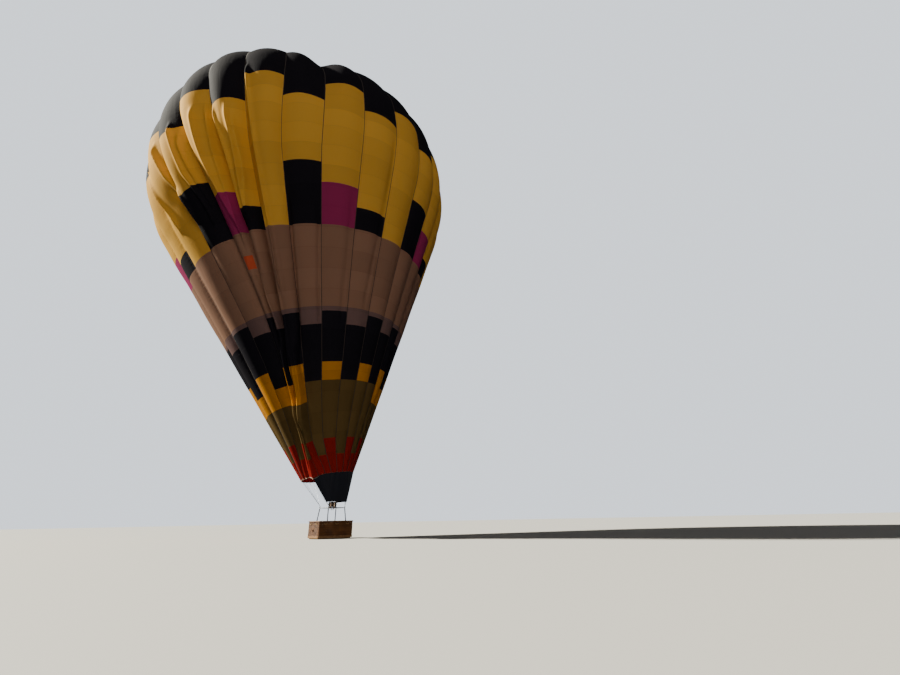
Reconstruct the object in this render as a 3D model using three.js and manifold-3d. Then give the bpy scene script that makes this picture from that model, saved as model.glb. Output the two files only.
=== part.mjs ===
// Hot air balloon, standing over its basket. Millimetres, +Z up.
// The origin lies on the envelope's axis at its centre of lift. The basket and the load frame
// stand level, with the basket's long side along X, and the envelope leans over them.

import * as THREE from 'three';
import { mergeVertices } from 'three/addons/utils/BufferGeometryUtils.js';
import Module from 'manifold-3d';

const wasm = await Module();
wasm.setup();

const GAP = 0.35; // clearance between pieces that touch
const rad = THREE.MathUtils.degToRad;

// Envelope. Distances along its axis are measured from the cone's tip, below the mouth.
const GORES = 28;
const GORE_ANGLE = rad(360 / GORES);
const FIRST_SEAM = rad(30.75); // where gore 1 starts, anticlockwise from +X seen from above
const LEAN = rad(9.4);
const LEAN_TOWARDS = rad(136);
const TIP_RADIUS = 234; // of the cone at its tip, where the burner frame hangs
const WIDEST_RADIUS = 12080; // out to the crests of the gores
const WIDEST_AT = 27180;
const LOWER_CURVE = 11500; // height of the ellipse that the cone runs into
const CAP_HEIGHT = 9160; // from the widest level to the crown
const CAP_EXPONENT = 2.2; // 2 would be an ellipse, and more is squarer at the shoulder
const MOUTH_AT = 3170;
const LIFT_AT = 24100; // the origin
const LOBE_DEPTH = 0.022; // of the seams below the crests, for each unit of radius
const SHELL = 10;
const CONE_ROWS = 3;
const LOWER_ROWS = 3;
const CAP_ROWS = 7; // from the widest level to the ledge that the valve's rim closes on
const GORE_STEPS = [-1, -0.5, 0, 0.5, 1]; // across a gore, from seam to seam

// Crown
const OPENING_RADIUS = 3200;
const LEDGE_RADIUS = 4100;
const TAPE_WIDTH = 44;
const TAPE_THICKNESS = 8;
const TAPE_STEPS = 3;
const HUB_RADIUS = 200;
const CROWN_RING = { outer: 170, inner: 125, height: 22 };
const VALVE_RADIUS = 3700;
const VALVE_CLEARANCE = 14;
const VALVE_STEPS = 6;
const VALVE_PATCH_RADIUS = 120;

// Mouth, flying wires and scoop
const BAND_HEIGHT = 60;
const WIRE_RADIUS = 4;
const SHACKLE = { radius: 24, height: 60 };
const SCOOP = { from: rad(211), to: rad(421), start: 0.13, rows: 3, offset: 34, overlap: 50 };

// Basket
const GROUND_BELOW_TIP = 760;
const BASKET = { length: 2490, width: 1510, corner: 120, wall: 42 };
const RUNNER = { width: 60, height: 60, length: 2300, spacing: 600, battens: 3 };
const FLOOR_THICKNESS = 20;
const RIM = { top: 1080, height: 62, width: 96 };
const FOOT_HOLE = { width: 210, height: 130, above: 500, left: [0], right: [-355, 355] };
const PARTITION = { cross: -250, thickness: 40, top: 1000 };
const CYLINDER = {
  x: [-1045, -728],
  y: 545,
  sides: 16,
  foot: { radius: 122, height: 36 },
  body: { radius: 150, bottom: 90, top: 742 },
  chine: { radius: 146, height: 62 },
  shoulder: { radius: 136, height: 806 },
  collar: { radius: 98, bottom: 846, top: 912 },
};

// Load frame and burner
const FRAME = { x: 609, y: 579, z: 1880, tube: 21, sides: 12 };
const SOCKET = { radius: 30, below: 60, above: 30 };
const LUG = { size: 52, height: 44, root: 2 };
const UPRIGHT = { x: 670, y: 695, radius: 32, sides: 14 };
const GIMBAL = { x: 405, y: 215, bar: 25, height: 40, pin: 10, bore: 10.6, boss: 18, play: 7, proud: 8 };
const BLOCK = { x: 200, y: 60, z: 35 };
const CAN = { x: 140, radius: 130, wall: 8, height: 330, base: 50, stub: 48, sides: 24 };
const HANDLE = { x: 60, radius: 13, length: 120 };

const FINISH = {
  gold: { color: 0xd9a21b, roughness: 0.75 },
  black: { color: 0x17171a, roughness: 0.8 },
  red: { color: 0xa5281c, roughness: 0.75 },
  navy: { color: 0x14161d, roughness: 0.8 },
  steel: { color: 0xb9bcc0, roughness: 0.35, metalness: 1 },
  aluminium: { color: 0xc4c7ca, roughness: 0.4, metalness: 1 },
  wicker: { color: 0x8c6236, roughness: 0.85 },
  leather: { color: 0x5a3a22, roughness: 0.7 },
  padding: { color: 0xc9bda4, roughness: 0.8 },
  plywood: { color: 0xb48a56, roughness: 0.7 },
  hardwood: { color: 0x4a3525, roughness: 0.8 },
};

const balloon = new THREE.Group();

/** Adds a named sub-part to a group. */
function add(group, name, geometry, finish) {
  const mesh = new THREE.Mesh(geometry, new THREE.MeshStandardMaterial(FINISH[finish]));
  mesh.name = name;
  group.add(mesh);
  return mesh;
}

/** A closed solid from points and triangles, turned so that its faces point outwards. */
function closed(points, triangles) {
  const a = new THREE.Vector3();
  let volume = 0;
  for (const [i, j, k] of triangles) {
    volume += points[i].dot(a.crossVectors(points[j], points[k]));
  }
  const order = volume < 0 ? triangles.map(([i, j, k]) => [i, k, j]) : triangles;
  const geometry = new THREE.BufferGeometry().setFromPoints(points);
  geometry.setIndex(order.flat());
  return geometry;
}

/**
 * A sheet with a thickness. Each row has its outer and inner points from one edge to the other,
 * and a ring's last points run on to its first.
 */
function sheet(rows, ring = false) {
  const count = rows[0].outer.length;
  const points = rows.flatMap((row) => [...row.outer, ...row.inner]);
  const at = (row, column, side) => (row * 2 + side) * count + (column % count);
  const triangles = [];
  const quad = (p, q, r, s) => triangles.push([p, q, r], [p, r, s]);
  const columns = ring ? count : count - 1;
  const last = rows.length - 1;
  for (let c = 0; c < columns; c += 1) {
    for (let r = 0; r < last; r += 1) {
      quad(at(r, c, 0), at(r, c + 1, 0), at(r + 1, c + 1, 0), at(r + 1, c, 0));
      quad(at(r, c + 1, 1), at(r, c, 1), at(r + 1, c, 1), at(r + 1, c + 1, 1));
    }
    quad(at(0, c + 1, 0), at(0, c, 0), at(0, c, 1), at(0, c + 1, 1));
    quad(at(last, c, 0), at(last, c + 1, 0), at(last, c + 1, 1), at(last, c, 1));
  }
  if (!ring) {
    for (let r = 0; r < last; r += 1) {
      quad(at(r, 0, 0), at(r + 1, 0, 0), at(r + 1, 0, 1), at(r, 0, 1));
      quad(at(r + 1, count - 1, 0), at(r, count - 1, 0), at(r, count - 1, 1), at(r + 1, count - 1, 1));
    }
  }
  return closed(points, triangles);
}

/** A geometry as a solid that can be joined and cut. */
function solid(geometry) {
  const bare = new THREE.BufferGeometry();
  bare.setAttribute('position', geometry.getAttribute('position'));
  bare.setIndex(geometry.getIndex());
  const merged = mergeVertices(bare, 1e-3);
  return new wasm.Manifold(new wasm.Mesh({
    numProp: 3,
    vertProperties: new Float32Array(merged.getAttribute('position').array),
    triVerts: new Uint32Array(merged.getIndex().array),
  }));
}

/** The geometry of a joined or cut solid. */
function geometryOf(manifold) {
  const mesh = manifold.getMesh();
  const geometry = new THREE.BufferGeometry();
  geometry.setAttribute('position', new THREE.BufferAttribute(mesh.vertProperties, 3));
  geometry.setIndex(new THREE.BufferAttribute(mesh.triVerts, 1));
  return geometry;
}

/** All the geometries joined into one. */
function joined(geometries) {
  return geometryOf(geometries.map(solid).reduce((whole, piece) => whole.add(piece)));
}

/** The first geometry with the others cut out of it. */
function cut(geometry, tools) {
  return geometryOf(tools.map(solid).reduce((whole, tool) => whole.subtract(tool), solid(geometry)));
}

/** A round bar between two points. */
function bar(from, to, radius, sides) {
  const along = new THREE.Vector3().subVectors(to, from);
  const geometry = new THREE.CylinderGeometry(radius, radius, along.length(), sides);
  const turn = new THREE.Quaternion().setFromUnitVectors(new THREE.Vector3(0, 1, 0), along.clone().normalize());
  const middle = new THREE.Vector3().addVectors(from, to).multiplyScalar(0.5);
  return geometry.applyQuaternion(turn).translate(middle.x, middle.y, middle.z);
}

/** A box from its size and its centre. */
function block(x, y, z, cx, cy, cz) {
  return new THREE.BoxGeometry(x, y, z).translate(cx, cy, cz);
}

/** A solid of revolution about +Z, from [radius, height] pairs. */
function turned(profile, sides) {
  const points = profile.map(([r, z]) => new THREE.Vector2(r, z));
  return new THREE.LatheGeometry(points, sides).rotateX(Math.PI / 2);
}

const v = (x, y, z) => new THREE.Vector3(x, y, z);

/** The tangent point of the cone on the lower ellipse, as a share of the ellipse's height. */
function tangentShare() {
  let low = 0.01;
  let high = 0.99;
  for (let step = 0; step < 50; step += 1) {
    const t = (low + high) / 2;
    const r = WIDEST_RADIUS * Math.sqrt(1 - t * t);
    const slope = (WIDEST_RADIUS * t) / (Math.sqrt(1 - t * t) * LOWER_CURVE);
    if (r - slope * (WIDEST_AT - LOWER_CURVE * t) > TIP_RADIUS) low = t;
    else high = t;
  }
  return low;
}

const TANGENT = tangentShare();
const TANGENT_AT = WIDEST_AT - LOWER_CURVE * TANGENT;
const TANGENT_RADIUS = WIDEST_RADIUS * Math.sqrt(1 - TANGENT * TANGENT);
const CONE_SLOPE = (TANGENT_RADIUS - TIP_RADIUS) / TANGENT_AT;

/** A place on the envelope's meridian: distance from the tip, radius and outward normal. */
function onCone(s) {
  const normal = new THREE.Vector2(1, -CONE_SLOPE).normalize();
  return { s, r: TIP_RADIUS + CONE_SLOPE * s, nr: normal.x, ns: normal.y };
}

function onLowerCurve(t) {
  const across = Math.sqrt(1 - t * t);
  const normal = new THREE.Vector2(across / WIDEST_RADIUS, -t / LOWER_CURVE).normalize();
  return { s: WIDEST_AT - LOWER_CURVE * t, r: WIDEST_RADIUS * across, nr: normal.x, ns: normal.y };
}

function onCap(angle) {
  const r = WIDEST_RADIUS * Math.cos(angle) ** (2 / CAP_EXPONENT);
  const up = CAP_HEIGHT * Math.sin(angle) ** (2 / CAP_EXPONENT);
  const normal = new THREE.Vector2(
    r ** (CAP_EXPONENT - 1) / WIDEST_RADIUS ** CAP_EXPONENT,
    up ** (CAP_EXPONENT - 1) / CAP_HEIGHT ** CAP_EXPONENT,
  ).normalize();
  return { s: WIDEST_AT + up, r, nr: normal.x, ns: normal.y };
}

const capAngle = (r) => Math.acos((r / WIDEST_RADIUS) ** (CAP_EXPONENT / 2));
const capAt = (r) => onCap(capAngle(r));

/** Every station from the mouth to the opening in the crown. */
function stations() {
  const list = [];
  for (let i = 0; i < CONE_ROWS; i += 1) {
    list.push(onCone(THREE.MathUtils.lerp(MOUTH_AT, TANGENT_AT, i / CONE_ROWS)));
  }
  for (let i = 0; i < LOWER_ROWS; i += 1) {
    list.push(onLowerCurve(TANGENT * (1 - i / LOWER_ROWS)));
  }
  for (let i = 0; i <= CAP_ROWS; i += 1) {
    list.push(onCap((capAngle(LEDGE_RADIUS) * i) / CAP_ROWS));
  }
  list.push(onCap(capAngle(OPENING_RADIUS)));
  return list;
}

/** A point at a station, an angle about the axis and a depth below the crests. */
function at(station, angle, depth) {
  const r = station.r - depth * station.nr;
  return v(r * Math.cos(angle), r * Math.sin(angle), station.s - depth * station.ns - LIFT_AT);
}

const seamDepth = (station) => station.r * LOBE_DEPTH;

/** One row of a gore, crowned from seam to seam. Its edges keep clear of the seams. */
function goreRow(station, index) {
  const row = { outer: [], inner: [] };
  for (const across of GORE_STEPS) {
    const clear = (Math.sign(across) * (Math.abs(across) === 1 ? GAP / 2 : 0)) / station.r;
    const angle = FIRST_SEAM + (index + 0.5 + across / 2) * GORE_ANGLE - clear;
    const depth = seamDepth(station) * across * across;
    row.outer.push(at(station, angle, depth));
    row.inner.push(at(station, angle, depth + SHELL));
  }
  return row;
}

const envelope = new THREE.Group();
const AXIS = v(
  Math.sin(LEAN) * Math.cos(LEAN_TOWARDS),
  Math.sin(LEAN) * Math.sin(LEAN_TOWARDS),
  Math.cos(LEAN),
);
envelope.quaternion.setFromUnitVectors(v(0, 0, 1), AXIS);
balloon.add(envelope);

/** A point of the leaning envelope in the balloon's own frame. */
const leaned = (point) => point.clone().applyQuaternion(envelope.quaternion);

function buildGores() {
  const rows = stations();
  for (let index = 0; index < GORES; index += 1) {
    const name = `gore_${String(index + 1).padStart(2, '0')}`;
    add(envelope, name, sheet(rows.map((station) => goreRow(station, index))), 'gold');
  }
}

function buildMouthBand() {
  const rows = [MOUTH_AT - GAP - BAND_HEIGHT, MOUTH_AT - GAP].map((s) => {
    const row = { outer: [], inner: [] };
    for (let index = 0; index < GORES; index += 1) {
      const part = goreRow(onCone(s), index);
      row.outer.push(...part.outer.slice(0, -1));
      row.inner.push(...part.inner.slice(0, -1));
    }
    return row;
  });
  add(envelope, 'mouth_band', sheet(rows, true), 'red');
}

/** The load tapes run on from the seams over the valve to a round hub under the crown ring. */
function buildCrownTapes() {
  const top = capAt(0).s - LIFT_AT;
  const hub = new THREE.CylinderGeometry(HUB_RADIUS, HUB_RADIUS, SHELL, GORES);
  const pieces = [hub.rotateX(Math.PI / 2).translate(0, 0, top - SHELL / 2)];
  const start = OPENING_RADIUS - 2 * GAP;
  const end = (HUB_RADIUS + VALVE_PATCH_RADIUS) / 2;
  for (let index = 0; index < GORES; index += 1) {
    const angle = FIRST_SEAM + index * GORE_ANGLE;
    const rows = [];
    for (let step = 0; step <= TAPE_STEPS; step += 1) {
      const station = capAt(THREE.MathUtils.lerp(start, end, step / TAPE_STEPS));
      const side = v(-Math.sin(angle), Math.cos(angle), 0).multiplyScalar(TAPE_WIDTH / 2);
      const outer = at(station, angle, seamDepth(station));
      const inner = at(station, angle, seamDepth(station) + TAPE_THICKNESS);
      rows.push({
        outer: [outer.clone().sub(side), outer.clone().add(side)],
        inner: [inner.clone().sub(side), inner.clone().add(side)],
      });
    }
    pieces.push(sheet(rows));
  }
  add(envelope, 'crown_tapes', joined(pieces), 'black');
}

function buildCrownRing() {
  const { outer, inner, height } = CROWN_RING;
  const bottom = capAt(0).s - LIFT_AT + GAP;
  const profile = [[inner, 0], [outer, 0], [outer, height], [inner, height], [inner, 0]];
  add(envelope, 'crown_ring', turned(profile, GORES), 'aluminium').position.z = bottom;
}

/** The valve is a shallow dome below the tapes, held under the hub by a round patch. */
function buildValve() {
  const top = capAt(0).s - LIFT_AT;
  const below = SHELL + VALVE_CLEARANCE;
  const radii = [];
  for (let step = 1; step <= VALVE_STEPS; step += 1) {
    radii.push(THREE.MathUtils.lerp(VALVE_PATCH_RADIUS, VALVE_RADIUS, step / VALVE_STEPS));
  }
  const edge = (r, depth) => {
    const station = capAt(r);
    const point = at(station, 0, seamDepth(station) + depth);
    return [point.x, point.z];
  };
  const upper = radii.map((r) => edge(r, below));
  const lower = radii.map((r) => edge(r, below + SHELL)).reverse();
  const patch = top - SHELL - GAP;
  const profile = [
    [0, patch],
    [VALVE_PATCH_RADIUS, patch],
    [VALVE_PATCH_RADIUS, top - below],
    ...upper,
    ...lower,
    [0, top - below - SHELL],
  ];
  const valve = turned(profile.reverse(), GORES);
  add(envelope, 'parachute_valve', valve.rotateZ(FIRST_SEAM), 'black');
}

const ground = AXIS.clone().multiplyScalar(-LIFT_AT).sub(v(0, 0, GROUND_BELOW_TIP));
const basket = new THREE.Group();
basket.position.copy(ground);
balloon.add(basket);

const CORNERS = [[1, 1], [-1, 1], [-1, -1], [1, -1]];
const SHACKLE_BOTTOM = FRAME.z + SOCKET.above + LUG.height + GAP;

/** The middle of a corner's shackle, in the balloon's own frame. */
function shackleAt([x, y]) {
  return v(x * FRAME.x, y * FRAME.y, SHACKLE_BOTTOM + SHACKLE.height / 2).add(ground);
}

/** The corner whose shackle takes the wire or the sheet at an angle about the axis. */
const cornerFor = (angle) => CORNERS[((Math.floor(angle / (Math.PI / 2)) % 4) + 4) % 4];

/** Seven wires run from each corner's shackle to the seams at the mouth band. */
function buildFlyingWires() {
  const station = onCone(MOUTH_AT - BAND_HEIGHT - 3 * GAP);
  CORNERS.forEach((corner, number) => {
    const middle = shackleAt(corner);
    const low = middle.clone().sub(v(0, 0, SHACKLE.height / 2));
    const high = middle.clone().add(v(0, 0, SHACKLE.height / 2));
    const pieces = [bar(low, high, SHACKLE.radius, 10)];
    for (let index = 0; index < GORES; index += 1) {
      const angle = FIRST_SEAM + index * GORE_ANGLE;
      const end = leaned(at(station, angle, seamDepth(station) + SHELL / 2));
      const along = end.clone().sub(middle);
      const seam = leaned(at(onCone(MOUTH_AT), angle, seamDepth(station))).sub(end);
      // the wire's square end is drawn back until its high side is level with the seam's end
      const back = along.clone().setLength(WIRE_RADIUS * Math.tan(along.angleTo(seam)));
      if (cornerFor(angle) === corner) pieces.push(bar(middle, end.sub(back), WIRE_RADIUS, 6));
    }
    add(balloon, `flying_wires_${number + 1}`, joined(pieces), 'steel');
  });
}

/** The scoop's outer side at an angle: straight from a corner of the frame to the mouth. */
function scoopLine(angle, corner, outward) {
  const mouth = onCone(MOUTH_AT - BAND_HEIGHT);
  const hem = onCone(MOUTH_AT - BAND_HEIGHT + SCOOP.overlap);
  const foot = shackleAt(corner).add(v(corner[0], corner[1], 0).multiplyScalar(SCOOP.offset + outward));
  const upper = leaned(at(mouth, angle, -GAP - outward));
  const points = [];
  for (let row = 0; row < SCOOP.rows; row += 1) {
    const share = THREE.MathUtils.lerp(SCOOP.start, 1, row / SCOOP.rows);
    points.push(foot.clone().lerp(upper, share));
  }
  points.push(upper, leaned(at(hem, angle, -GAP - outward)));
  return points;
}

function buildScoop() {
  const middle = (index) => FIRST_SEAM + (index + 0.5) * GORE_ANGLE;
  const angles = [];
  for (let index = 0; index < 2 * GORES; index += 1) {
    if (middle(index) > SCOOP.from && middle(index) < SCOOP.to) angles.push(middle(index));
  }
  const lines = angles.map((angle) => ({
    outer: scoopLine(angle, cornerFor(angle), SHELL),
    inner: scoopLine(angle, cornerFor(angle), 0),
  }));
  add(balloon, 'scoop', sheet(lines), 'navy');
}

/** A rectangle with round corners, as points from its +X side anticlockwise. */
function roundedOutline(length, width, radius, steps = 5) {
  const points = [];
  const turns = [[1, 1, 0], [-1, 1, 90], [-1, -1, 180], [1, -1, 270]];
  for (const [sx, sy, from] of turns) {
    for (let step = 0; step <= steps; step += 1) {
      const angle = rad(from + (90 * step) / steps);
      const cx = sx * (length / 2 - radius);
      const cy = sy * (width / 2 - radius);
      points.push(new THREE.Vector2(cx + radius * Math.cos(angle), cy + radius * Math.sin(angle)));
    }
  }
  return points;
}

/** An outline pulled straight up, with an optional hole. */
function extruded(outline, bottom, top, hole) {
  const shape = new THREE.Shape(outline);
  if (hole) shape.holes.push(new THREE.Path(hole));
  const geometry = new THREE.ExtrudeGeometry(shape, { depth: top - bottom, bevelEnabled: false });
  return geometry.translate(0, 0, bottom);
}

const FLOOR_TOP = RUNNER.height + GAP + FLOOR_THICKNESS;
const WALL_TOP = RIM.top - RIM.height - GAP;

function buildRunners() {
  const { width, height, length, spacing, battens } = RUNNER;
  const pieces = [-1, 0, 1].map((side) => block(length, width, height, 0, side * spacing, height / 2));
  for (let i = 0; i < battens; i += 1) {
    const x = (i / (battens - 1) - 0.5) * (length - 3 * width);
    pieces.push(block(width, 2 * spacing, height / 2, x, 0, (height * 3) / 4));
  }
  add(basket, 'runners', joined(pieces), 'hardwood');
}

function buildFloor() {
  const outline = roundedOutline(BASKET.length, BASKET.width, BASKET.corner);
  add(basket, 'floor', extruded(outline, RUNNER.height + GAP, FLOOR_TOP), 'plywood');
}

/** The long walls turn the corners and the short walls close the ends between them. */
function buildWalls() {
  const { length, width, corner, wall } = BASKET;
  const bottom = FLOOR_TOP + GAP;
  const reach = width / 2 - corner;
  const outer = roundedOutline(length, width, corner);
  const inner = roundedOutline(length - 2 * wall, width - 2 * wall, corner - wall).reverse();
  for (const [name, side] of [['wall_back', 1], ['wall_front', -1]]) {
    const isOn = (point) => point.y * side > reach - 0.01;
    const outline = [...outer.filter(isOn), ...inner.filter(isOn)];
    add(basket, name, extruded(outline, bottom, WALL_TOP), 'wicker');
  }
  const ends = [['wall_left', -1, FOOT_HOLE.left], ['wall_right', 1, FOOT_HOLE.right]];
  for (const [name, side, places] of ends) {
    const x = side * (length / 2 - wall / 2);
    const height = WALL_TOP - bottom;
    const panel = block(wall, 2 * reach - 2 * GAP, height, x, 0, bottom + height / 2);
    const holes = places.map((y) => footHole(x, y));
    add(basket, name, cut(panel, holes), 'wicker');
  }
}

/** An oval cutter through an end wall, as wide as a boot. */
function footHole(x, y) {
  const { width, height, above } = FOOT_HOLE;
  const hole = new THREE.CylinderGeometry(height / 2, height / 2, BASKET.wall * 2, 16);
  return hole.rotateZ(Math.PI / 2).scale(1, width / height, 1).translate(x, y, above);
}

function buildRim() {
  const { top, height, width } = RIM;
  const grow = width - BASKET.wall;
  const outer = roundedOutline(BASKET.length + grow, BASKET.width + grow, BASKET.corner + grow / 2);
  const inset = 2 * width - grow;
  const inner = roundedOutline(BASKET.length - inset, BASKET.width - inset, BASKET.corner - inset / 2);
  add(basket, 'rim', extruded(outer, top - height, top, inner), 'padding');
}

/** A cross wall parts off the pilot's end, and a wall along the middle halves the rest. */
function buildPartition() {
  const { cross, thickness, top } = PARTITION;
  const inside = { x: BASKET.length / 2 - BASKET.wall - GAP, y: BASKET.width / 2 - BASKET.wall - GAP };
  const half = thickness / 2;
  const outline = [
    [inside.x, half],
    [cross + half, half],
    [cross + half, inside.y],
    [cross - half, inside.y],
    [cross - half, -inside.y],
    [cross + half, -inside.y],
    [cross + half, -half],
    [inside.x, -half],
  ].map(([x, y]) => new THREE.Vector2(x, y));
  add(basket, 'partition', extruded(outline, FLOOR_TOP + GAP, top), 'wicker');
}

function buildCylinders() {
  const { foot, chine, body, shoulder, collar } = CYLINDER;
  const profile = [
    [0, 0],
    [foot.radius, 0],
    [foot.radius, foot.height],
    [chine.radius, chine.height],
    [body.radius, body.bottom],
    [body.radius, body.top],
    [shoulder.radius, shoulder.height],
    [collar.radius, collar.bottom],
    [collar.radius, collar.top],
    [0, collar.top],
  ];
  const places = CYLINDER.x.flatMap((x) => [[x, -CYLINDER.y], [x, CYLINDER.y]]);
  places.forEach(([x, y], number) => {
    const geometry = turned(profile, CYLINDER.sides);
    const mesh = add(basket, `fuel_cylinder_${number + 1}`, geometry, 'steel');
    mesh.position.set(x, y, FLOOR_TOP + GAP);
  });
}

/** Round posts whose ends are level, from the rim to the sockets of the load frame. */
function buildUprights() {
  const bottom = RIM.top + GAP;
  const top = FRAME.z - SOCKET.below - GAP;
  const height = top - bottom;
  CORNERS.forEach(([x, y], number) => {
    const geometry = new THREE.CylinderGeometry(UPRIGHT.radius, UPRIGHT.radius, height, UPRIGHT.sides);
    geometry.rotateX(Math.PI / 2).translate(0, 0, height / 2);
    const slant = new THREE.Matrix4().set(
      1, 0, (x * (FRAME.x - UPRIGHT.x)) / height, x * UPRIGHT.x,
      0, 1, (y * (FRAME.y - UPRIGHT.y)) / height, y * UPRIGHT.y,
      0, 0, 1, bottom,
      0, 0, 0, 1,
    );
    add(basket, `upright_${number + 1}`, geometry.applyMatrix4(slant), 'leather');
  });
}

/** Tubes round the frame, with sockets, lugs for the shackles and the gimbal's outer pins. */
function buildLoadFrame() {
  const { x, y, z, tube, sides } = FRAME;
  const pieces = [];
  for (const side of [-1, 1]) {
    pieces.push(bar(v(-x, side * y, z), v(x, side * y, z), tube, sides));
    pieces.push(bar(v(side * x, -y, z), v(side * x, y, z), tube, sides));
    const shoulder = GIMBAL.x + GIMBAL.play;
    const tip = GIMBAL.x - GIMBAL.bar - GIMBAL.proud;
    pieces.push(bar(v(side * x, 0, z), v(side * shoulder, 0, z), GIMBAL.boss, sides));
    pieces.push(bar(v(side * x, 0, z), v(side * tip, 0, z), GIMBAL.pin, sides));
  }
  for (const [sx, sy] of CORNERS) {
    const low = v(sx * x, sy * y, z - SOCKET.below);
    pieces.push(bar(low, v(sx * x, sy * y, z + SOCKET.above), SOCKET.radius, 14));
    const lugMiddle = z + SOCKET.above + (LUG.height - LUG.root) / 2;
    pieces.push(block(LUG.size, LUG.size, LUG.height + LUG.root, sx * x, sy * y, lugMiddle));
  }
  add(basket, 'load_frame', joined(pieces), 'steel');
}

function buildGimbalRing() {
  const { x, y, bar: wide, height, bore } = GIMBAL;
  const ring = cut(block(2 * x, 2 * y, height, 0, 0, FRAME.z), [
    block(2 * (x - wide), 2 * (y - wide), height * 2, 0, 0, FRAME.z),
    bar(v(-x * 2, 0, FRAME.z), v(x * 2, 0, FRAME.z), bore, FRAME.sides),
    bar(v(0, -y * 2, FRAME.z), v(0, y * 2, FRAME.z), bore, FRAME.sides),
  ]);
  add(basket, 'gimbal_ring', ring, 'steel');
}

function buildBurner() {
  const { z } = FRAME;
  const shoulder = GIMBAL.y - GIMBAL.bar - GIMBAL.play;
  const tip = GIMBAL.y + GIMBAL.proud;
  const pieces = [
    block(2 * BLOCK.x, 2 * BLOCK.y, 2 * BLOCK.z, 0, 0, z),
    bar(v(0, -shoulder, z), v(0, shoulder, z), GIMBAL.boss, FRAME.sides),
    bar(v(0, -tip, z), v(0, tip, z), GIMBAL.pin, FRAME.sides),
  ];
  for (const side of [-1, 1]) {
    const base = v(side * CAN.x, 0, z);
    pieces.push(bar(base, v(side * CAN.x, 0, z + CAN.base), CAN.stub, 16));
    const grip = v(side * HANDLE.x, 0, z);
    const end = v(side * HANDLE.x, 0, z - BLOCK.z - HANDLE.length);
    pieces.push(bar(grip, end, HANDLE.radius, 10));
  }
  add(basket, 'burner_block', joined(pieces), 'aluminium');

  const { radius, wall, height } = CAN;
  const profile = [
    [0, 0],
    [radius, 0],
    [radius, height],
    [radius - wall, height],
    [radius - wall, wall],
    [0, wall],
  ];
  for (const [number, side] of [[1, -1], [2, 1]]) {
    const can = add(basket, `burner_can_${number}`, turned(profile, CAN.sides), 'steel');
    can.position.set(side * CAN.x, 0, z + CAN.base + GAP);
  }
}

buildGores();
buildMouthBand();
buildCrownTapes();
buildCrownRing();
buildValve();
buildFlyingWires();
buildScoop();
buildRunners();
buildFloor();
buildWalls();
buildRim();
buildPartition();
buildCylinders();
buildUprights();
buildLoadFrame();
buildGimbalRing();
buildBurner();

export default balloon;
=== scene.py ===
"""A tall, part-filled hot air balloon that leans over its basket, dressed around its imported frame.

Lengths are metres in the frame's own axes: +Z up, the basket's long side along X, and the origin on
the envelope's axis at its centre of lift. The envelope is worked out in a frame of its own, whose
axis runs up through the crown, and is then leaned over the basket.
"""

from __future__ import annotations

import logging
import math
from dataclasses import dataclass, field
from enum import Enum
from functools import partial
from typing import Any, Callable, Mapping, Sequence

import bmesh
import bpy
import numpy as np
from mathutils import Matrix, Vector

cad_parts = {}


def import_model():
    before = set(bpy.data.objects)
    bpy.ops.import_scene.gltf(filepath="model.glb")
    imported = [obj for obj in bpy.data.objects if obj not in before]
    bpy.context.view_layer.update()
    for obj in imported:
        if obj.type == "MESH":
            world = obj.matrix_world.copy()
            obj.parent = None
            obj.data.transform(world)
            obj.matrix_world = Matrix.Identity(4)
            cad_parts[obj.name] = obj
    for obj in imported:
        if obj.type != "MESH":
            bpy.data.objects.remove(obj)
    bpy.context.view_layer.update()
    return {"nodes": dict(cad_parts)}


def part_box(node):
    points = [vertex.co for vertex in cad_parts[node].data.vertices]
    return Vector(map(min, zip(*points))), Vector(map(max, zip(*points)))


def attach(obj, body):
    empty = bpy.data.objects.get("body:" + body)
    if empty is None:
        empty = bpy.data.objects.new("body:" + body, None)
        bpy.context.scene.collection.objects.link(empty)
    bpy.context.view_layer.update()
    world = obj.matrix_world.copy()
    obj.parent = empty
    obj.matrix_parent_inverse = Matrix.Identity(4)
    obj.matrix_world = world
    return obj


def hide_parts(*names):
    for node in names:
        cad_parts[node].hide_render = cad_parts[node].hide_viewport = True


log = logging.getLogger("balloon")

Points = np.ndarray
Shape = tuple[Points, list[list[int]]]
Colour = tuple[float, float, float, float]
Node = bpy.types.Node
Item = bpy.types.Object
Adder = Callable[..., Node]
MM = 0.001
TURN = 2 * math.pi
SHARP = math.radians(38)
CORNERS = ((1, 1), (-1, 1), (-1, -1), (1, -1))


# Small helpers


def linear(code: str) -> Colour:
    """Turns an sRGB hex colour into the linear colour that a shader takes.

    Args:
        code: six hex digits, such as "d9a21b".

    Returns:
        Red, green, blue and an alpha of 1.
    """
    values = [int(code[i : i + 2], 16) / 255 for i in (0, 2, 4)]
    return (*(v / 12.92 if v <= 0.04045 else ((v + 0.055) / 1.055) ** 2.4 for v in values), 1.0)


def add_node(
    tree: bpy.types.NodeTree, kind: str, inputs: Mapping[Any, Any] | Sequence[Any] = (), **settings: Any
) -> Node:
    """Adds a node with its settings and links.

    Args:
        tree: the node tree that gets it.
        kind: the node's type name.
        inputs: what its inputs take, in order or by name. Each is a value, a socket to link from,
            or a node whose first socket in use is linked.
        settings: the node's own properties.

    Returns:
        The new node.
    """
    made = tree.nodes.new(kind)
    for name, value in settings.items():
        setattr(made, name, value)
    used = [socket for socket in made.inputs if socket.enabled]
    given = inputs.items() if isinstance(inputs, Mapping) else enumerate(inputs)
    for key, value in given:
        target = used[key] if isinstance(key, int) else next(s for s in used if s.name == key)
        if isinstance(value, Node):
            value = next(socket for socket in value.outputs if socket.enabled)
        if isinstance(value, bpy.types.NodeSocket):
            tree.links.new(value, target)
        elif value is not None:
            target.default_value = value
    return made


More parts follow.
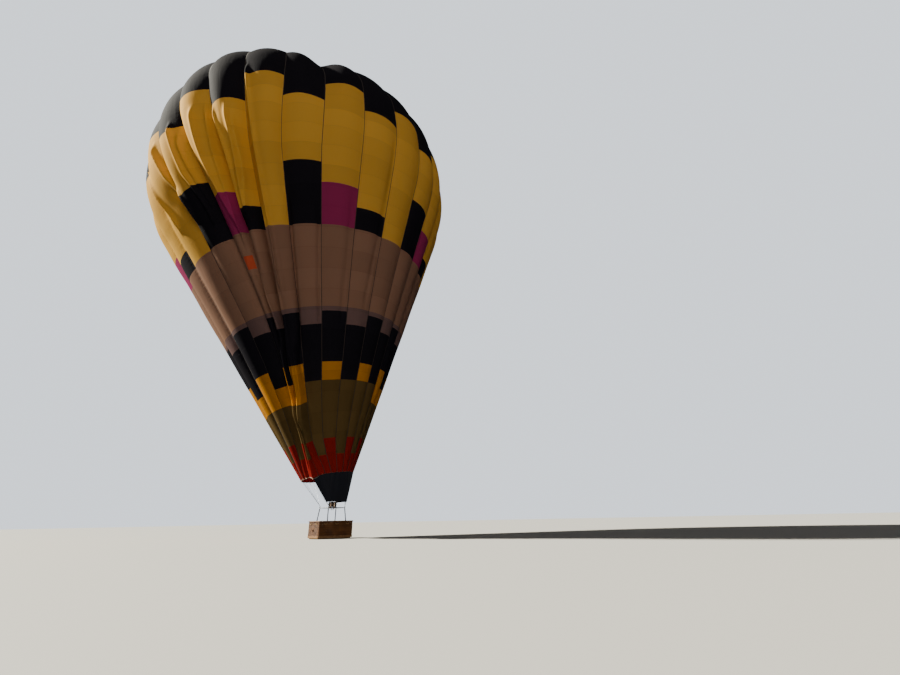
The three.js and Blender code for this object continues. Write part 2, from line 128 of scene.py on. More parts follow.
def mesh_object(name: str, points: Any, faces: Any, smooth: bool = True, edges: Any = ()) -> Item:
    """Makes a mesh object at the origin, with its place in its mesh.

    Args:
        name: the object's name.
        points: its vertices.
        faces: its faces, as rows of vertex numbers.
        smooth: whether its faces are shaded smooth.
        edges: edges of its own, as pairs of vertex numbers.

    Returns:
        The new object, linked to the scene.
    """
    mesh = bpy.data.meshes.new(name)
    faces = faces.tolist() if isinstance(faces, np.ndarray) else list(faces)
    mesh.from_pydata(np.asarray(points, float).tolist(), list(edges), faces)
    mesh.polygons.foreach_set("use_smooth", [smooth] * len(mesh.polygons))
    mesh.update()
    made = bpy.data.objects.new(name, mesh)
    bpy.context.scene.collection.objects.link(made)
    return made


def grid_faces(rows: int, columns: int, around: bool = False, looped: bool = False) -> Points:
    """Quads over a grid of points laid out row by row.

    Args:
        rows: how many rows of points there are.
        columns: how many points each row has.
        around: whether the last column joins on to the first.
        looped: whether the last row joins on to the first.

    Returns:
        One row of four vertex numbers for each quad.
    """
    row = np.arange(rows if looped else rows - 1)[:, None] * columns
    above = (row + columns) % (rows * columns)
    column = np.arange(columns if around else columns - 1)[None, :]
    after = (column + 1) % columns
    quads = np.broadcast_arrays(row + column, row + after, above + after, above + column)
    return np.stack([quad.ravel() for quad in quads], axis=1)


def smoothstep(low: float, high: float, value: Any) -> Any:
    """A smooth rise from 0 at low to 1 at high."""
    share = np.clip((value - low) / (high - low), 0.0, 1.0)
    return share * share * (3 - 2 * share)


# The envelope's shape


@dataclass(frozen=True)
class Profile:
    """The envelope's outline: a cone, the ellipse it runs into, and a squarer cap over it."""

    tip_radius: float = 0.234
    widest_radius: float = 12.08
    widest_at: float = 27.18
    lower_curve: float = 11.5
    cap_height: float = 9.16
    cap_exponent: float = 2.2
    mouth_at: float = 3.17
    lift_at: float = 24.1
    opening_radius: float = 3.2
    samples: int = 1500

    def tangent(self) -> float:
        """Where the cone meets the ellipse, as a share of the ellipse's height."""
        low, high = 0.01, 0.99
        for _ in range(50):
            share = (low + high) / 2
            across = math.sqrt(1 - share * share)
            slope = self.widest_radius * share / (across * self.lower_curve)
            reach = self.widest_at - self.lower_curve * share
            if self.widest_radius * across - slope * reach > self.tip_radius:
                low = share
            else:
                high = share
        return low

    def outline(self, lowest: float) -> tuple[Points, Points]:
        """Closely spaced places on the outline, up to the crown.

        Args:
            lowest: the height above the tip where they start.

        Returns:
            Heights and radii.
        """
        share = self.tangent()
        top = self.widest_at - self.lower_curve * share
        radius = self.widest_radius * math.sqrt(1 - share * share)
        cone = np.linspace(lowest, top, self.samples)
        lower = np.linspace(share, 0, self.samples)[1:]
        angle = np.linspace(0, math.pi / 2, self.samples)[1:]
        power = 2 / self.cap_exponent
        heights = [
            cone,
            self.widest_at - self.lower_curve * lower,
            self.widest_at + self.cap_height * np.sin(angle) ** power,
        ]
        radii = [
            self.tip_radius + (radius - self.tip_radius) * cone / top,
            self.widest_radius * np.sqrt(1 - lower**2),
            self.widest_radius * np.abs(np.cos(angle)) ** power,
        ]
        return np.concatenate(heights), np.concatenate(radii)


@dataclass(frozen=True)
class Gather:
    """How far the slack cloth is drawn round into a bunch of narrow gores at one height.

    left and right are the farthest that seams on either side of the bunch move towards it, in
    gores, and spread is how far from its middle they do, in gores.
    """

    height: float
    left: float
    right: float
    spread: float


@dataclass(frozen=True)
class Swelling:
    """A place where the envelope stands proud of its outline, or sinks below it."""

    gore: float
    height: float
    wide: float
    tall: float
    proud: float


@dataclass(frozen=True)
class Looseness:
    """A place where the gores have more cloth across than their seams leave room for.

    slack is the spare cloth as a share of a gore's width, and wide and tall are how far it fades
    away, in gores and in metres of height.
    """

    gore: float
    height: float
    wide: float
    tall: float
    slack: float


@dataclass(frozen=True)
class Fold:
    """A long ridge in the cloth, or a groove where proud is below zero.

    line has pairs of a place round the axis, in gores, and a height, from the top down. wide is in
    gores.
    """

    line: tuple[tuple[float, float], ...]
    proud: float
    wide: float = 0.05
    fade: float = 1.3


@dataclass
class EnvelopeShape:
    """The lobed, part-filled surface of the envelope, by gore and by height above the tip."""

    profile: Profile = field(default_factory=Profile)
    gores: int = 28
    first_seam: float = math.radians(30.75)
    lean: float = math.radians(9.4)
    lean_towards: float = math.radians(136)
    bunch: float = 14.45
    slack: tuple[tuple[float, float], ...] = ((24.0, 0.026), (27.5, 0.013), (34.6, 0.010), (35.7, 0.026))
    flattest: tuple[tuple[float, float], ...] = ((27.0, 0.098), (30.0, 0.05), (34.0, 0.05), (35.5, 0.098))
    loose: tuple[Looseness, ...] = (
        Looseness(gore=11.4, height=22.0, wide=3.8, tall=5.0, slack=0.16),
        Looseness(gore=13.0, height=6.0, wide=2.5, tall=4.0, slack=0.05),
        Looseness(gore=21.5, height=13.0, wide=3.0, tall=6.0, slack=0.03),
    )
    gathers: tuple[Gather, ...] = (
        Gather(3.17, 0.0, 0.0, 1.9),
        Gather(4.3, 0.6, 0.7, 1.9),
        Gather(5.2, 0.85, 0.95, 1.9),
        Gather(7.4, 1.1, 0.8, 1.9),
        Gather(10.0, 1.1, 0.62, 1.8),
        Gather(12.5, 1.0, 0.5, 1.8),
        Gather(17.9, 0.65, 0.37, 1.8),
        Gather(22.5, 0.35, 0.28, 1.8),
        Gather(27.0, 0.05, 0.08, 1.8),
        Gather(29.5, 0.0, 0.0, 1.8),
    )
    swellings: tuple[Swelling, ...] = (
        Swelling(14.4, 31.5, 1.6, 3.2, 0.32),
        Swelling(17.0, 31.0, 0.45, 4.5, -0.50),
        Swelling(14.9, 8.2, 0.7, 3.0, 0.30),
    )

    folds: tuple[Fold, ...] = (
        Fold(((14.53, 24.6), (14.56, 23.15), (14.54, 22.0), (14.49, 20.7), (14.45, 19.4)), 0.24, 0.055),
        Fold(((14.66, 23.6), (14.68, 22.1), (14.62, 20.6), (14.52, 19.2)), 0.18, 0.04),
        Fold(((14.15, 25.0), (14.28, 23.3), (14.33, 22.1), (14.32, 20.8), (14.28, 19.2)), 0.26, 0.055),
        Fold(((13.92, 25.6), (13.94, 23.0), (13.97, 21.2), (14.07, 19.0), (14.12, 18.0)), 0.2, 0.045),
        Fold(((13.6, 25.4), (13.69, 22.6), (13.75, 21.5), (13.84, 20.5), (14.0, 19.0), (14.17, 17.8),
              (14.25, 16.15), (14.35, 14.75), (14.5, 13.0), (14.6, 11.5)), 0.26, 0.075),
        Fold(((12.74, 25.6), (12.91, 22.5), (13.1, 21.1), (13.24, 19.8)), 0.28, 0.06),
        Fold(((12.95, 24.4), (13.06, 22.7), (13.22, 21.2), (13.34, 20.2)), 0.2, 0.045),
        Fold(((11.79, 25.8), (12.08, 23.4), (12.33, 22.1), (12.61, 20.6)), 0.28, 0.065),
        Fold(((10.95, 26.4), (11.2, 24.4), (11.45, 22.6), (11.7, 21.0)), 0.26, 0.065),
        Fold(((15.05, 28.0), (15.09, 24.0), (15.06, 20.0), (15.06, 18.0), (15.0, 15.0)), 0.28, 0.06),
        Fold(((14.76, 18.4), (14.72, 14.9), (14.68, 12.4), (14.57, 9.8)), -0.30, 0.05),
        Fold(((15.72, 18.6), (15.62, 15.0), (15.51, 12.25), (15.24, 9.8)), -0.28, 0.045),
        Fold(((14.92, 18.4), (14.9, 15.0), (14.85, 12.4), (14.7, 9.8)), 0.2, 0.05),
        Fold(((14.47, 10.4), (14.42, 8.8), (14.38, 7.0)), 0.36, 0.2),
        Fold(((14.86, 10.4), (14.82, 8.7), (14.76, 6.8)), 0.30, 0.13),
        Fold(((15.12, 10.4), (15.08, 8.6), (14.95, 6.6)), 0.5, 0.2),
        Fold(((14.6, 6.8), (14.55, 5.4), (14.5, 4.4), (14.42, 3.2)), 0.5, 0.6),
        Fold(((16.6, 18.0), (16.5, 15.0), (16.4, 12.5)), -0.12, 0.06),
        Fold(((17.65, 19.0), (17.6, 16.0), (17.5, 13.0)), -0.14, 0.05),
        Fold(((18.9, 24.0), (18.8, 19.0), (18.6, 14.0)), -0.12, 0.07),
    )

    # where the lobes lie over, proud being how far their crests move towards the seam on their left
    flop: Swelling = Swelling(12.2, 25.0, 2.8, 9.5, 0.34)

    def __post_init__(self) -> None:
        """Works out the outline, its length from the mouth and its normals."""
        self.heights, self.radii = self.profile.outline(self.profile.mouth_at - 0.2)
        steps = np.hypot(np.diff(self.heights), np.diff(self.radii))
        arcs = np.concatenate([[0.0], np.cumsum(steps)])
        self.arcs = arcs - np.interp(self.profile.mouth_at, self.heights, arcs)
        along = np.gradient(self.heights, self.arcs), np.gradient(self.radii, self.arcs)
        self.normal_out, self.normal_up = along[0], -along[1]
        axis = Vector((math.sin(self.lean) * math.cos(self.lean_towards),
                       math.sin(self.lean) * math.sin(self.lean_towards), math.cos(self.lean)))
        self.axis = axis
        turn = Vector((0, 0, 1)).rotation_difference(axis)
        self.turn = np.array(turn.to_matrix())

    def arc_of(self, height: float) -> float:
        """The length along the outline from the mouth up to a height above the tip."""
        return float(np.interp(height, self.heights, self.arcs))

    def arc_of_radius(self, radius: float) -> float:
        """The length along the outline up to a radius in the cap."""
        cap = self.heights >= self.profile.widest_at
        return float(np.interp(-radius, -self.radii[cap], self.arcs[cap]))

    def seam_angle(self, gore: Any) -> Any:
        """The angle round the axis of a seam coordinate before any cloth is drawn aside."""
        return self.first_seam + gore * TURN / self.gores

    def seams_of_quadrant(self, number: int) -> list[int]:
        """The seams whose wires run to one corner of the load frame."""
        pairs = ((seam, self.seam_angle(seam) // (math.pi / 2) % 4) for seam in range(self.gores))
        return [seam for seam, quadrant in pairs if quadrant == number]

    def crown(self, out: float = 0.0) -> Points:
        """The point on the axis at the top of the envelope, or some way above it."""
        top = self.profile.widest_at + self.profile.cap_height - self.profile.lift_at
        return np.array(self.axis) * (top + out)

    def cap_place(self, radius: Points, angle: Points, depth: Points) -> Points:
        """Points inside the cap.

        Args:
            radius: how far each is from the axis.
            angle: its angle round the axis.
            depth: how far it lies below the crests of the cloth.

        Returns:
            One row of x, y and z for each point.
        """
        cap = self.heights >= self.profile.widest_at
        known = self.radii[cap][::-1]
        height, out, up = (
            np.interp(radius, known, values[cap][::-1])
            for values in (self.heights, self.normal_out, self.normal_up))
        return self.plain(radius - depth * out, angle, height - depth * up)

    def place(self, gore: Points, height: Points) -> Points:
        """Where cloth lies round the axis, after it is drawn into the bunch.

        Args:
            gore: its seam coordinate.
            height: its height above the tip.

        Returns:
            Its place, in gores.
        """
        levels = np.array([(g.height, g.left, g.right, g.spread) for g in self.gathers])
        left, right, spread = (np.interp(height, levels[:, 0], levels[:, i]) for i in (1, 2, 3))
        off = (gore - self.bunch + self.gores / 2) % self.gores - self.gores / 2
        amount = left + (right - left) * smoothstep(-1.5, 1.5, off)
        drawn = off / spread * np.exp(0.5 - off**2 / (2 * spread**2))
        return gore - amount * drawn

    def lobe(self, gore: Points, height: Points, radius: Points) -> Points:
        """How deep below the outline the cloth lies, from its seams and its slack.

        Args:
            gore: its seam coordinate.
            height: its height above the tip.
            radius: the outline's radius there.

        Returns:
            The depth in metres.
        """
        whole = np.floor(gore + 1e-9)
        share = gore - whole
        width = TURN / self.gores * radius

        def crown(number: Points) -> Points:
            """How far the middle of each numbered gore stands out past its seams."""
            chord = (self.place(number + 1, height) - self.place(number, height))
            chord = chord * TURN / self.gores * radius
            spare = sum(one.slack * self.near(number + 0.5, height, one) for one in self.loose)
            cloth = width * (1 + spare + np.interp(height, *np.transpose(self.slack)))
            flat = np.interp(height, *np.transpose(self.flattest)) * chord
            return np.sqrt(np.maximum(0.375 * chord * (cloth - chord), flat**2))

        before, own, after = (crown(whole + step) for step in (-1, 0, 1))
        left, right = (before + own) / 2, (own + after) / 2
        across = 2 * share ** (1 - self.flop.proud * self.near(whole + 0.5, height, self.flop)) - 1
        return left * (1 - share) + right * share - own * (1 - across**2)

    def near(self, gore: Points, height: Points, place: Swelling | Looseness) -> Points:
        """How near a point is to a place on the cloth, from 0 to 1."""
        off = (gore - place.gore + self.gores / 2) % self.gores - self.gores / 2
        return np.exp(-((off / place.wide) ** 2) - ((height - place.height) / place.tall) ** 2)

    def swell(self, gore: Points, height: Points) -> Points:
        """How far swellings push the cloth out."""
        proud = sum(one.proud * self.near(gore, height, one) for one in self.swellings)
        return proud * (1 - smoothstep(33.5, 35.5, height))

    def creases(self, gore: Points, height: Points, radius: Points) -> Points:
        """How far folds and the cloth's own unevenness push it out.

        Args:
            gore: its seam coordinate.
            height: its height above the tip.
            radius: the outline's radius there.

        Returns:
            The distance in metres.
        """
        place = self.place(gore, height)
        wave = 0.020 * np.sin(gore * 2.3 + height * 0.9) * np.sin(height * 0.55 + gore)
        proud = wave * np.sin(math.pi * (gore % 1)) ** 0.7 * np.minimum(radius / 6, 1)
        for fold in self.folds:
            along, heights = np.transpose(fold.line)[:, ::-1]
            off = (place - np.interp(height, heights, along)) / fold.wide
            inside = smoothstep(heights[0] - fold.fade, heights[0], height)
            inside = inside * (1 - smoothstep(heights[-1], heights[-1] + fold.fade, height))
            proud = proud + fold.proud * inside * np.exp(-np.abs(off) ** 1.6)
        return proud

    def at(self, gore: Any, arc: Any, out: float = 0.0) -> Points:
        """Points of the cloth in the frame's axes.

        Args:
            gore: the seam coordinate, where 0 is the first seam and 1 the next.
            arc: the length up the outline from the mouth.
            out: how far outside the cloth.

        Returns:
            One row of x, y and z for each point.
        """
        gore, arc = np.broadcast_arrays(np.asarray(gore, float), np.asarray(arc, float))
        height = np.interp(arc, self.arcs, self.heights)
        radius = np.interp(arc, self.arcs, self.radii)
        normal_out = np.interp(arc, self.arcs, self.normal_out)
        normal_up = np.interp(arc, self.arcs, self.normal_up)
        depth = self.lobe(gore, height, radius) - self.swell(gore, height)
        depth = depth - self.creases(gore, height, radius) - out
        angle = self.first_seam + self.place(gore, height) * TURN / self.gores
        level = radius - depth * normal_out
        up = height - depth * normal_up - self.profile.lift_at
        local = np.stack([level * np.cos(angle), level * np.sin(angle), up], axis=-1)
        return local @ self.turn.T

    def plain(self, radius: Any, angle: Any, height: Any) -> Points:
        """Points placed round the envelope's axis.

        Args:
            radius: how far each is from the axis.
            angle: its angle round the axis.
            height: its height above the tip.

        Returns:
            One row of x, y and z for each point, leaned with the envelope.
        """
        radius, angle, height = np.broadcast_arrays(radius, angle, height)
        up = height - self.profile.lift_at
        return np.stack([radius * np.cos(angle), radius * np.sin(angle), up], axis=-1) @ self.turn.T


# Finishes


class Cloth(Enum):
    """The canopy cloth's colours, as sRGB codes of the dyed cloth in flat light."""

    GOLD = "e2ac46"
    BLACK = "1d1b22"
    PLUM = "a03063"
    TAUPE = "94705c"
    DARK_TAUPE = "745c59"
    OLIVE = "64502e"
    LEMON = "c8841c"
    RED = "8f201b"
    PATCH = "c4563a"


@dataclass(frozen=True)
class Band:
    """A colour from a height above the tip upwards."""

    height: float
    colour: Cloth


LOW_TEETH = (
    Band(3.0, Cloth.RED), Band(4.27, Cloth.OLIVE), Band(7.55, Cloth.LEMON),
    Band(8.7, Cloth.BLACK), Band(12.03, Cloth.DARK_TAUPE), Band(13.07, Cloth.TAUPE),
)
HIGH_TEETH = (
    Band(3.0, Cloth.RED), Band(5.25, Cloth.OLIVE), Band(7.55, Cloth.LEMON),
    Band(9.79, Cloth.BLACK), Band(12.8, Cloth.DARK_TAUPE), Band(13.07, Cloth.TAUPE),
)
BAND_PLANS: tuple[tuple[Band, ...], ...] = (
    (*LOW_TEETH, Band(17.9, Cloth.BLACK), Band(21.6, Cloth.GOLD), Band(26.0, Cloth.BLACK)),
    (*HIGH_TEETH, Band(17.9, Cloth.PLUM), Band(20.4, Cloth.GOLD), Band(27.8, Cloth.BLACK)),
    (*LOW_TEETH, Band(17.9, Cloth.BLACK), Band(19.25, Cloth.GOLD), Band(26.0, Cloth.BLACK)),
    (*HIGH_TEETH, Band(17.9, Cloth.GOLD), Band(27.8, Cloth.BLACK)),
)


@dataclass(frozen=True)
class Finish:
    """A real material, made once and shared by the pieces that have it."""

    name: str

    def material(self) -> bpy.types.Material:
        """The material, made the first time that it is asked for."""
        made = bpy.data.materials.get(self.name)
        if made is None:
            made = bpy.data.materials.new(self.name)
            made.use_nodes = True
            made.node_tree.nodes.clear()
            surface = self.dress(partial(add_node, made.node_tree))
            add_node(made.node_tree, "ShaderNodeOutputMaterial", {"Surface": surface})
        return made

    def dress(self, add: Adder) -> Node:
        """Makes the finish's nodes.

        Args:
            add: adds a node to the finish's tree.

        Returns:
            The last shader.
        """
        raise NotImplementedError

    def surface(self, add: Adder, share: Any, colours: tuple[str, str], relief: tuple[float, float, Any],
                inputs: Mapping[str, Any]) -> Node:
        """The blend of two colours, the bump and the shader that most finishes end in.

        Args:
            add: adds a node to the finish's tree.
            share: how far the colour goes from the first to the second.
            colours: the two colours as sRGB codes.
            relief: the bump's strength, its depth in metres and its height.
            inputs: what the shader's other inputs take.

        Returns:
            The shader.
        """
        first, second = map(linear, colours)
        strength, depth, height = relief
        colour = add("ShaderNodeMix", {"Factor": share, "A": first, "B": second}, data_type="RGBA")
        bump = add("ShaderNodeBump", {"Strength": strength, "Distance": depth, "Height": height})
        return add("ShaderNodeBsdfPrincipled", {"Base Color": colour, "Normal": bump, **inputs})


@dataclass(frozen=True)
class CanopyCloth(Finish):
    """Ripstop nylon with a polyurethane coating: a slight gloss, and light comes through it."""

    name: str = "coated_ripstop_nylon"
    cloth_width: float = 1.35
    seam_depth: float = 0.02
    stitching: str = "120e0c"

    def dress(self, add: Adder) -> Node:
        """Dyed panels, sewn rows, puckers at the tapes and fine creases."""
        place = add("ShaderNodeUVMap", uv_map="cloth")
        split = add("ShaderNodeSeparateXYZ", [place])
        gore, arc = split.outputs[0], split.outputs[1]
        colour = add("ShaderNodeAttribute", attribute_name="dye").outputs["Color"]

        # each panel of cloth is a little lighter or darker, as cut from another roll
        number = add("ShaderNodeMath", [gore], operation="FLOOR")
        rows = add("ShaderNodeMath", [arc, self.cloth_width], operation="DIVIDE")
        row = add("ShaderNodeMath", [rows], operation="FLOOR")
        panel = add("ShaderNodeCombineXYZ", [number, row])
        tone = add("ShaderNodeTexWhiteNoise", [panel], noise_dimensions="2D").outputs["Value"]
        value = add("ShaderNodeMath", [tone, 0.14, 0.93], operation="MULTIPLY_ADD")
        tinted = add("ShaderNodeHueSaturation", {"Value": value, "Color": colour})

        # a sewn seam across each row of cloth: a double layer 40 mm deep, so a little darker
        off = add("ShaderNodeMath", [arc, self.cloth_width / 2], operation="PINGPONG")
        seam = add("ShaderNodeMath", [off, self.seam_depth], operation="LESS_THAN")
        share = add("ShaderNodeMath", [seam, 0.08], operation="MULTIPLY")
        sewn = add("ShaderNodeMix", {
            "Factor": share, "A": tinted, "B": linear(self.stitching)}, data_type="RGBA")

        # puckers beside the load tapes, and the long creases of thin cloth
        edge = add("ShaderNodeMath", [gore, 0.5], operation="PINGPONG")
        inward = add("ShaderNodeMath", [edge, -2.0, 1.0], operation="MULTIPLY_ADD")
        close = add("ShaderNodeMath", [inward, 3.0], operation="POWER")
        stretched = add("ShaderNodeVectorMath", [place, (9.0, 0.55, 1.0)], operation="MULTIPLY")
        creases = add("ShaderNodeTexNoise", {
            "Vector": stretched, "Scale": 1.0, "Detail": 4.0, "Distortion": 0.6})
        tight = add("ShaderNodeVectorMath", [place, (3.0, 5.0, 1.0)], operation="MULTIPLY")
        puckers = add("ShaderNodeTexNoise", {"Vector": tight, "Scale": 1.0, "Detail": 2.0})
        puckered = add("ShaderNodeMath", [puckers, close], operation="MULTIPLY")
        fine = add("ShaderNodeMath", [creases, 0.014], operation="MULTIPLY")
        height = add("ShaderNodeMath", [puckered, 0.03, fine], operation="MULTIPLY_ADD")
        height = add("ShaderNodeMath", [seam, 0.004, height], operation="MULTIPLY_ADD")
        bump = add("ShaderNodeBump", {"Strength": 0.8, "Distance": 1.0, "Height": height})

        surface = add("ShaderNodeBsdfPrincipled", {
            "Base Color": sewn, "Roughness": 0.8, "IOR": 1.1, "Normal": bump})
        deeper = add("ShaderNodeGamma", [sewn, 1.45])
        through = add("ShaderNodeBsdfTranslucent", {"Color": deeper, "Normal": bump})
        return add("ShaderNodeMixShader", [0.2, surface, through])


@dataclass(frozen=True)
class WovenCloth(Finish):
    """Plain woven cloth or webbing: matt threads that cross, with a soft sheen at the edge.

    The threads are drawn at thread_mm apart, coarser than the real ones so that they show.
    """

    colour: str = "202020"
    worn: str = "3a3a3a"
    thread_mm: float = 4.0
    crease_mm: float = 260.0
    roughness: float = 0.8
    sheen: float = 0.06
    ior: float = 1.4

    def dress(self, add: Adder) -> Node:
        """Threads both ways, and paler patches where the cloth is worn or creased."""
        place = add("ShaderNodeTexCoord").outputs["Object"]
        scale = math.pi / (self.thread_mm * MM) / 20
        warp, weft = (
            add("ShaderNodeTexWave", {
                "Vector": place, "Scale": scale, "Distortion": 0.6}, bands_direction=axis)
            for axis in "XZ")
        crossing = add("ShaderNodeMath", [warp, weft], operation="MAXIMUM")
        creases = add("ShaderNodeTexNoise", {
            "Vector": place, "Scale": 1 / (self.crease_mm * MM), "Detail": 5.0, "Distortion": 0.8})
        threads = add("ShaderNodeMath", [crossing, 0.15, creases], operation="MULTIPLY_ADD")
        return self.surface(add, creases, (self.colour, self.worn), (0.5, 0.01, threads), {
            "Roughness": self.roughness, "IOR": self.ior, "Sheen Weight": self.sheen})


@dataclass(frozen=True)
class Metal(Finish):
    """Bare metal, drawn or brushed: fine marks one way, and hand and heat marks over it."""

    colour: str = "b9bcc0"
    marked: str = "8d8f92"
    roughness: float = 0.34
    grain_mm: float = 3.0
    marks_mm: float = 90.0

    def dress(self, add: Adder) -> Node:
        """Brush marks in the roughness and bump, and blotches in the colour."""
        place = add("ShaderNodeTexCoord").outputs["Object"]
        stretched = add("ShaderNodeVectorMath", [place, (1.0, 1.0, 12.0)], operation="MULTIPLY")
        grain = add("ShaderNodeTexNoise", {
            "Vector": stretched, "Scale": 1 / (self.grain_mm * MM), "Detail": 2.0})
        marks = add("ShaderNodeTexNoise", {
            "Vector": place, "Scale": 1 / (self.marks_mm * MM), "Detail": 6.0})
        rough = add("ShaderNodeMapRange", {
            "Value": marks, "To Min": self.roughness - 0.08, "To Max": self.roughness + 0.12})
        return self.surface(add, marks, (self.colour, self.marked), (0.15, 0.001, grain), {
            "Metallic": 1.0, "Roughness": rough})


@dataclass(frozen=True)
class Leather(Finish):
    """Tanned hide: pebbled grain, darker in its folds and paler where hands have rubbed it."""

    colour: str = "5a3a22"
    rubbed: str = "8a623e"
    pebble_mm: float = 5.0
    roughness: float = 0.5

    def dress(self, add: Adder) -> Node:
        """Pebbles in the bump, and rubbed patches in colour and roughness."""
        place = add("ShaderNodeTexCoord").outputs["Object"]
        pebbles = add("ShaderNodeTexVoronoi", {"Vector": place, "Scale": 1 / (self.pebble_mm * MM)})
        folds = add("ShaderNodeTexNoise", {"Vector": place, "Scale": 7.0, "Detail": 6.0, "Distortion": 0.5})
        share = add("ShaderNodeMapRange", {"Value": folds, "From Min": 0.35, "From Max": 0.7})
        height = add("ShaderNodeMath", [pebbles, 0.3, folds], operation="MULTIPLY_ADD")
        rough = add("ShaderNodeMapRange", {
            "Value": folds, "To Min": self.roughness + 0.15, "To Max": self.roughness - 0.1})
        return self.surface(
            add, share, (self.colour, self.rubbed), (0.5, 0.006, height), {"Roughness": rough})


@dataclass(frozen=True)
class Willow(Finish):
    """Peeled willow rods under varnish: each rod has its own tone, with streaks along it."""

    pale: str = "80532a"
    dark: str = "4a2b13"
    streak_mm: float = 9.0

    def dress(self, add: Adder) -> Node:
        """The tone of each rod, its streaks, and broad patches over the wall."""
        place = add("ShaderNodeTexCoord").outputs["Object"]
        rod = add("ShaderNodeAttribute", attribute_name="rod").outputs["Fac"]
        tone = add("ShaderNodeTexWhiteNoise", {"W": rod}, noise_dimensions="1D").outputs["Value"]
        streaks = add("ShaderNodeTexNoise", {
            "Vector": place, "Scale": 1 / (self.streak_mm * MM), "Detail": 4.0})
        patches = add("ShaderNodeTexNoise", {"Vector": place, "Scale": 2.2, "Detail": 3.0})
        share = add("ShaderNodeMath", [tone, 0.45, patches], operation="MULTIPLY_ADD")
        share = add("ShaderNodeMath", [streaks, 0.35, share], operation="MULTIPLY_ADD")
        share = add("ShaderNodeMapRange", {"Value": share, "From Min": 0.45, "From Max": 1.15})
        return self.surface(
            add, share, (self.pale, self.dark), (0.4, 0.002, streaks), {"Roughness": 0.7, "IOR": 1.4})


@dataclass(frozen=True)
class Timber(Finish):
    """Sawn and oiled wood: rings that stretch along the board, with scuffs over it."""

    pale: str = "b48a56"
    dark: str = "7d5930"
    ring_mm: float = 14.0
    roughness: float = 0.6

    def dress(self, add: Adder) -> Node:
        """Grain along X, with scuffs."""
        place = add("ShaderNodeTexCoord").outputs["Object"]
        stretched = add("ShaderNodeVectorMath", [place, (0.08, 1.0, 1.0)], operation="MULTIPLY")
        grain = add("ShaderNodeTexNoise", {
            "Vector": stretched, "Scale": 1 / (self.ring_mm * MM), "Detail": 5.0, "Distortion": 1.2})
        scuffs = add("ShaderNodeTexNoise", {"Vector": place, "Scale": 9.0, "Detail": 8.0})
        share = add("ShaderNodeMath", [scuffs, 0.4, grain], operation="MULTIPLY_ADD")
        share = add("ShaderNodeMapRange", {"Value": share, "From Min": 0.45, "From Max": 0.95})
        return self.surface(
            add, share, (self.pale, self.dark), (0.3, 0.002, grain), {"Roughness": self.roughness})


@dataclass(frozen=True)
class Moulded(Finish):
    """Moulded plastic, rubber or enamel: even, with a fine tooth and a little dust."""

    colour: str = "202124"
    dusty: str = "4a4a4a"
    tooth_mm: float = 1.5
    roughness: float = 0.5

    def dress(self, add: Adder) -> Node:
        """A fine tooth in the bump, and dust in the colour."""
        place = add("ShaderNodeTexCoord").outputs["Object"]
        tooth = add("ShaderNodeTexNoise", {
            "Vector": place, "Scale": 1 / (self.tooth_mm * MM), "Detail": 1.0})
        dust = add("ShaderNodeTexNoise", {"Vector": place, "Scale": 12.0, "Detail": 6.0})
        share = add("ShaderNodeMapRange", {"Value": dust, "From Min": 0.4, "From Max": 0.9, "To Max": 0.5})
        return self.surface(
            add, share, (self.colour, self.dusty), (0.1, 0.001, tooth), {"Roughness": self.roughness})


CANOPY = CanopyCloth()
LOAD_WEBBING = WovenCloth("woven_polyester_tape", "2a2320", "433832", thread_mm=6)
RED_WEBBING = WovenCloth("red_hem_webbing", "5e1512", "a02a1c", thread_mm=6)
PALE_WEBBING = WovenCloth("pale_cotton_tape", "b9ab93", "d8ccb6", thread_mm=5)
SCOOP_CLOTH = WovenCloth(
    "flame_proof_aramid_cloth", "0d0f18", "1b1e2a", thread_mm=8, crease_mm=700, roughness=0.7)
VALVE_CLOTH = WovenCloth(
    "black_ripstop_nylon", "141217", "201d23", thread_mm=10, crease_mm=900, sheen=0.0, ior=1.12)
COVER_CLOTH = WovenCloth("black_textured_nylon", "16161a", "2c2c31", thread_mm=3, crease_mm=120)
STRAP_CLOTH = WovenCloth("black_nylon_strap", "121214", "2a2a2c", thread_mm=2)
MANILA = WovenCloth("manila_rope", "9c7a4a", "c7a46c", thread_mm=3, crease_mm=60, sheen=0.1)
THREAD = WovenCloth("waxed_thread", "c2ab80", "ddcba6", thread_mm=1, crease_mm=40, sheen=0.1)
STAINLESS = Metal("brushed_stainless_steel")
DRAWN_WIRE = Metal("drawn_stainless_wire", "9fa2a6", "707276", roughness=0.4, grain_mm=2)
ALUMINIUM = Metal("anodised_aluminium", "c4c7ca", "9fa2a5", roughness=0.42)
HEATED_STEEL = Metal("heat_marked_steel", "a79c8c", "6a4c3c", roughness=0.3, marks_mm=60)
BRASS = Metal("turned_brass", "c9a45a", "94713a", roughness=0.3)
RIM_HIDE = Leather("rim_cowhide")
RAWHIDE = Leather("rawhide", "654424", "8a6338", pebble_mm=8, roughness=0.6)
CUFF_HIDE = Leather("dark_harness_leather", "2b1d15", "4d3626", pebble_mm=4)
WILLOW = Willow("varnished_willow")
PLYWOOD = Timber("oiled_plywood")
HARDWOOD = Timber("worn_ash_skid", "6a513a", "3a2b20", ring_mm=10, roughness=0.75)
RUBBER = Moulded("black_rubber")
RED_ENAMEL = Moulded("red_enamel", "a32018", "6c1a14", roughness=0.35)
WHITE_ENAMEL = Moulded("white_dial_enamel", "e8e6df", "cfcabd", roughness=0.3)


# Shapes


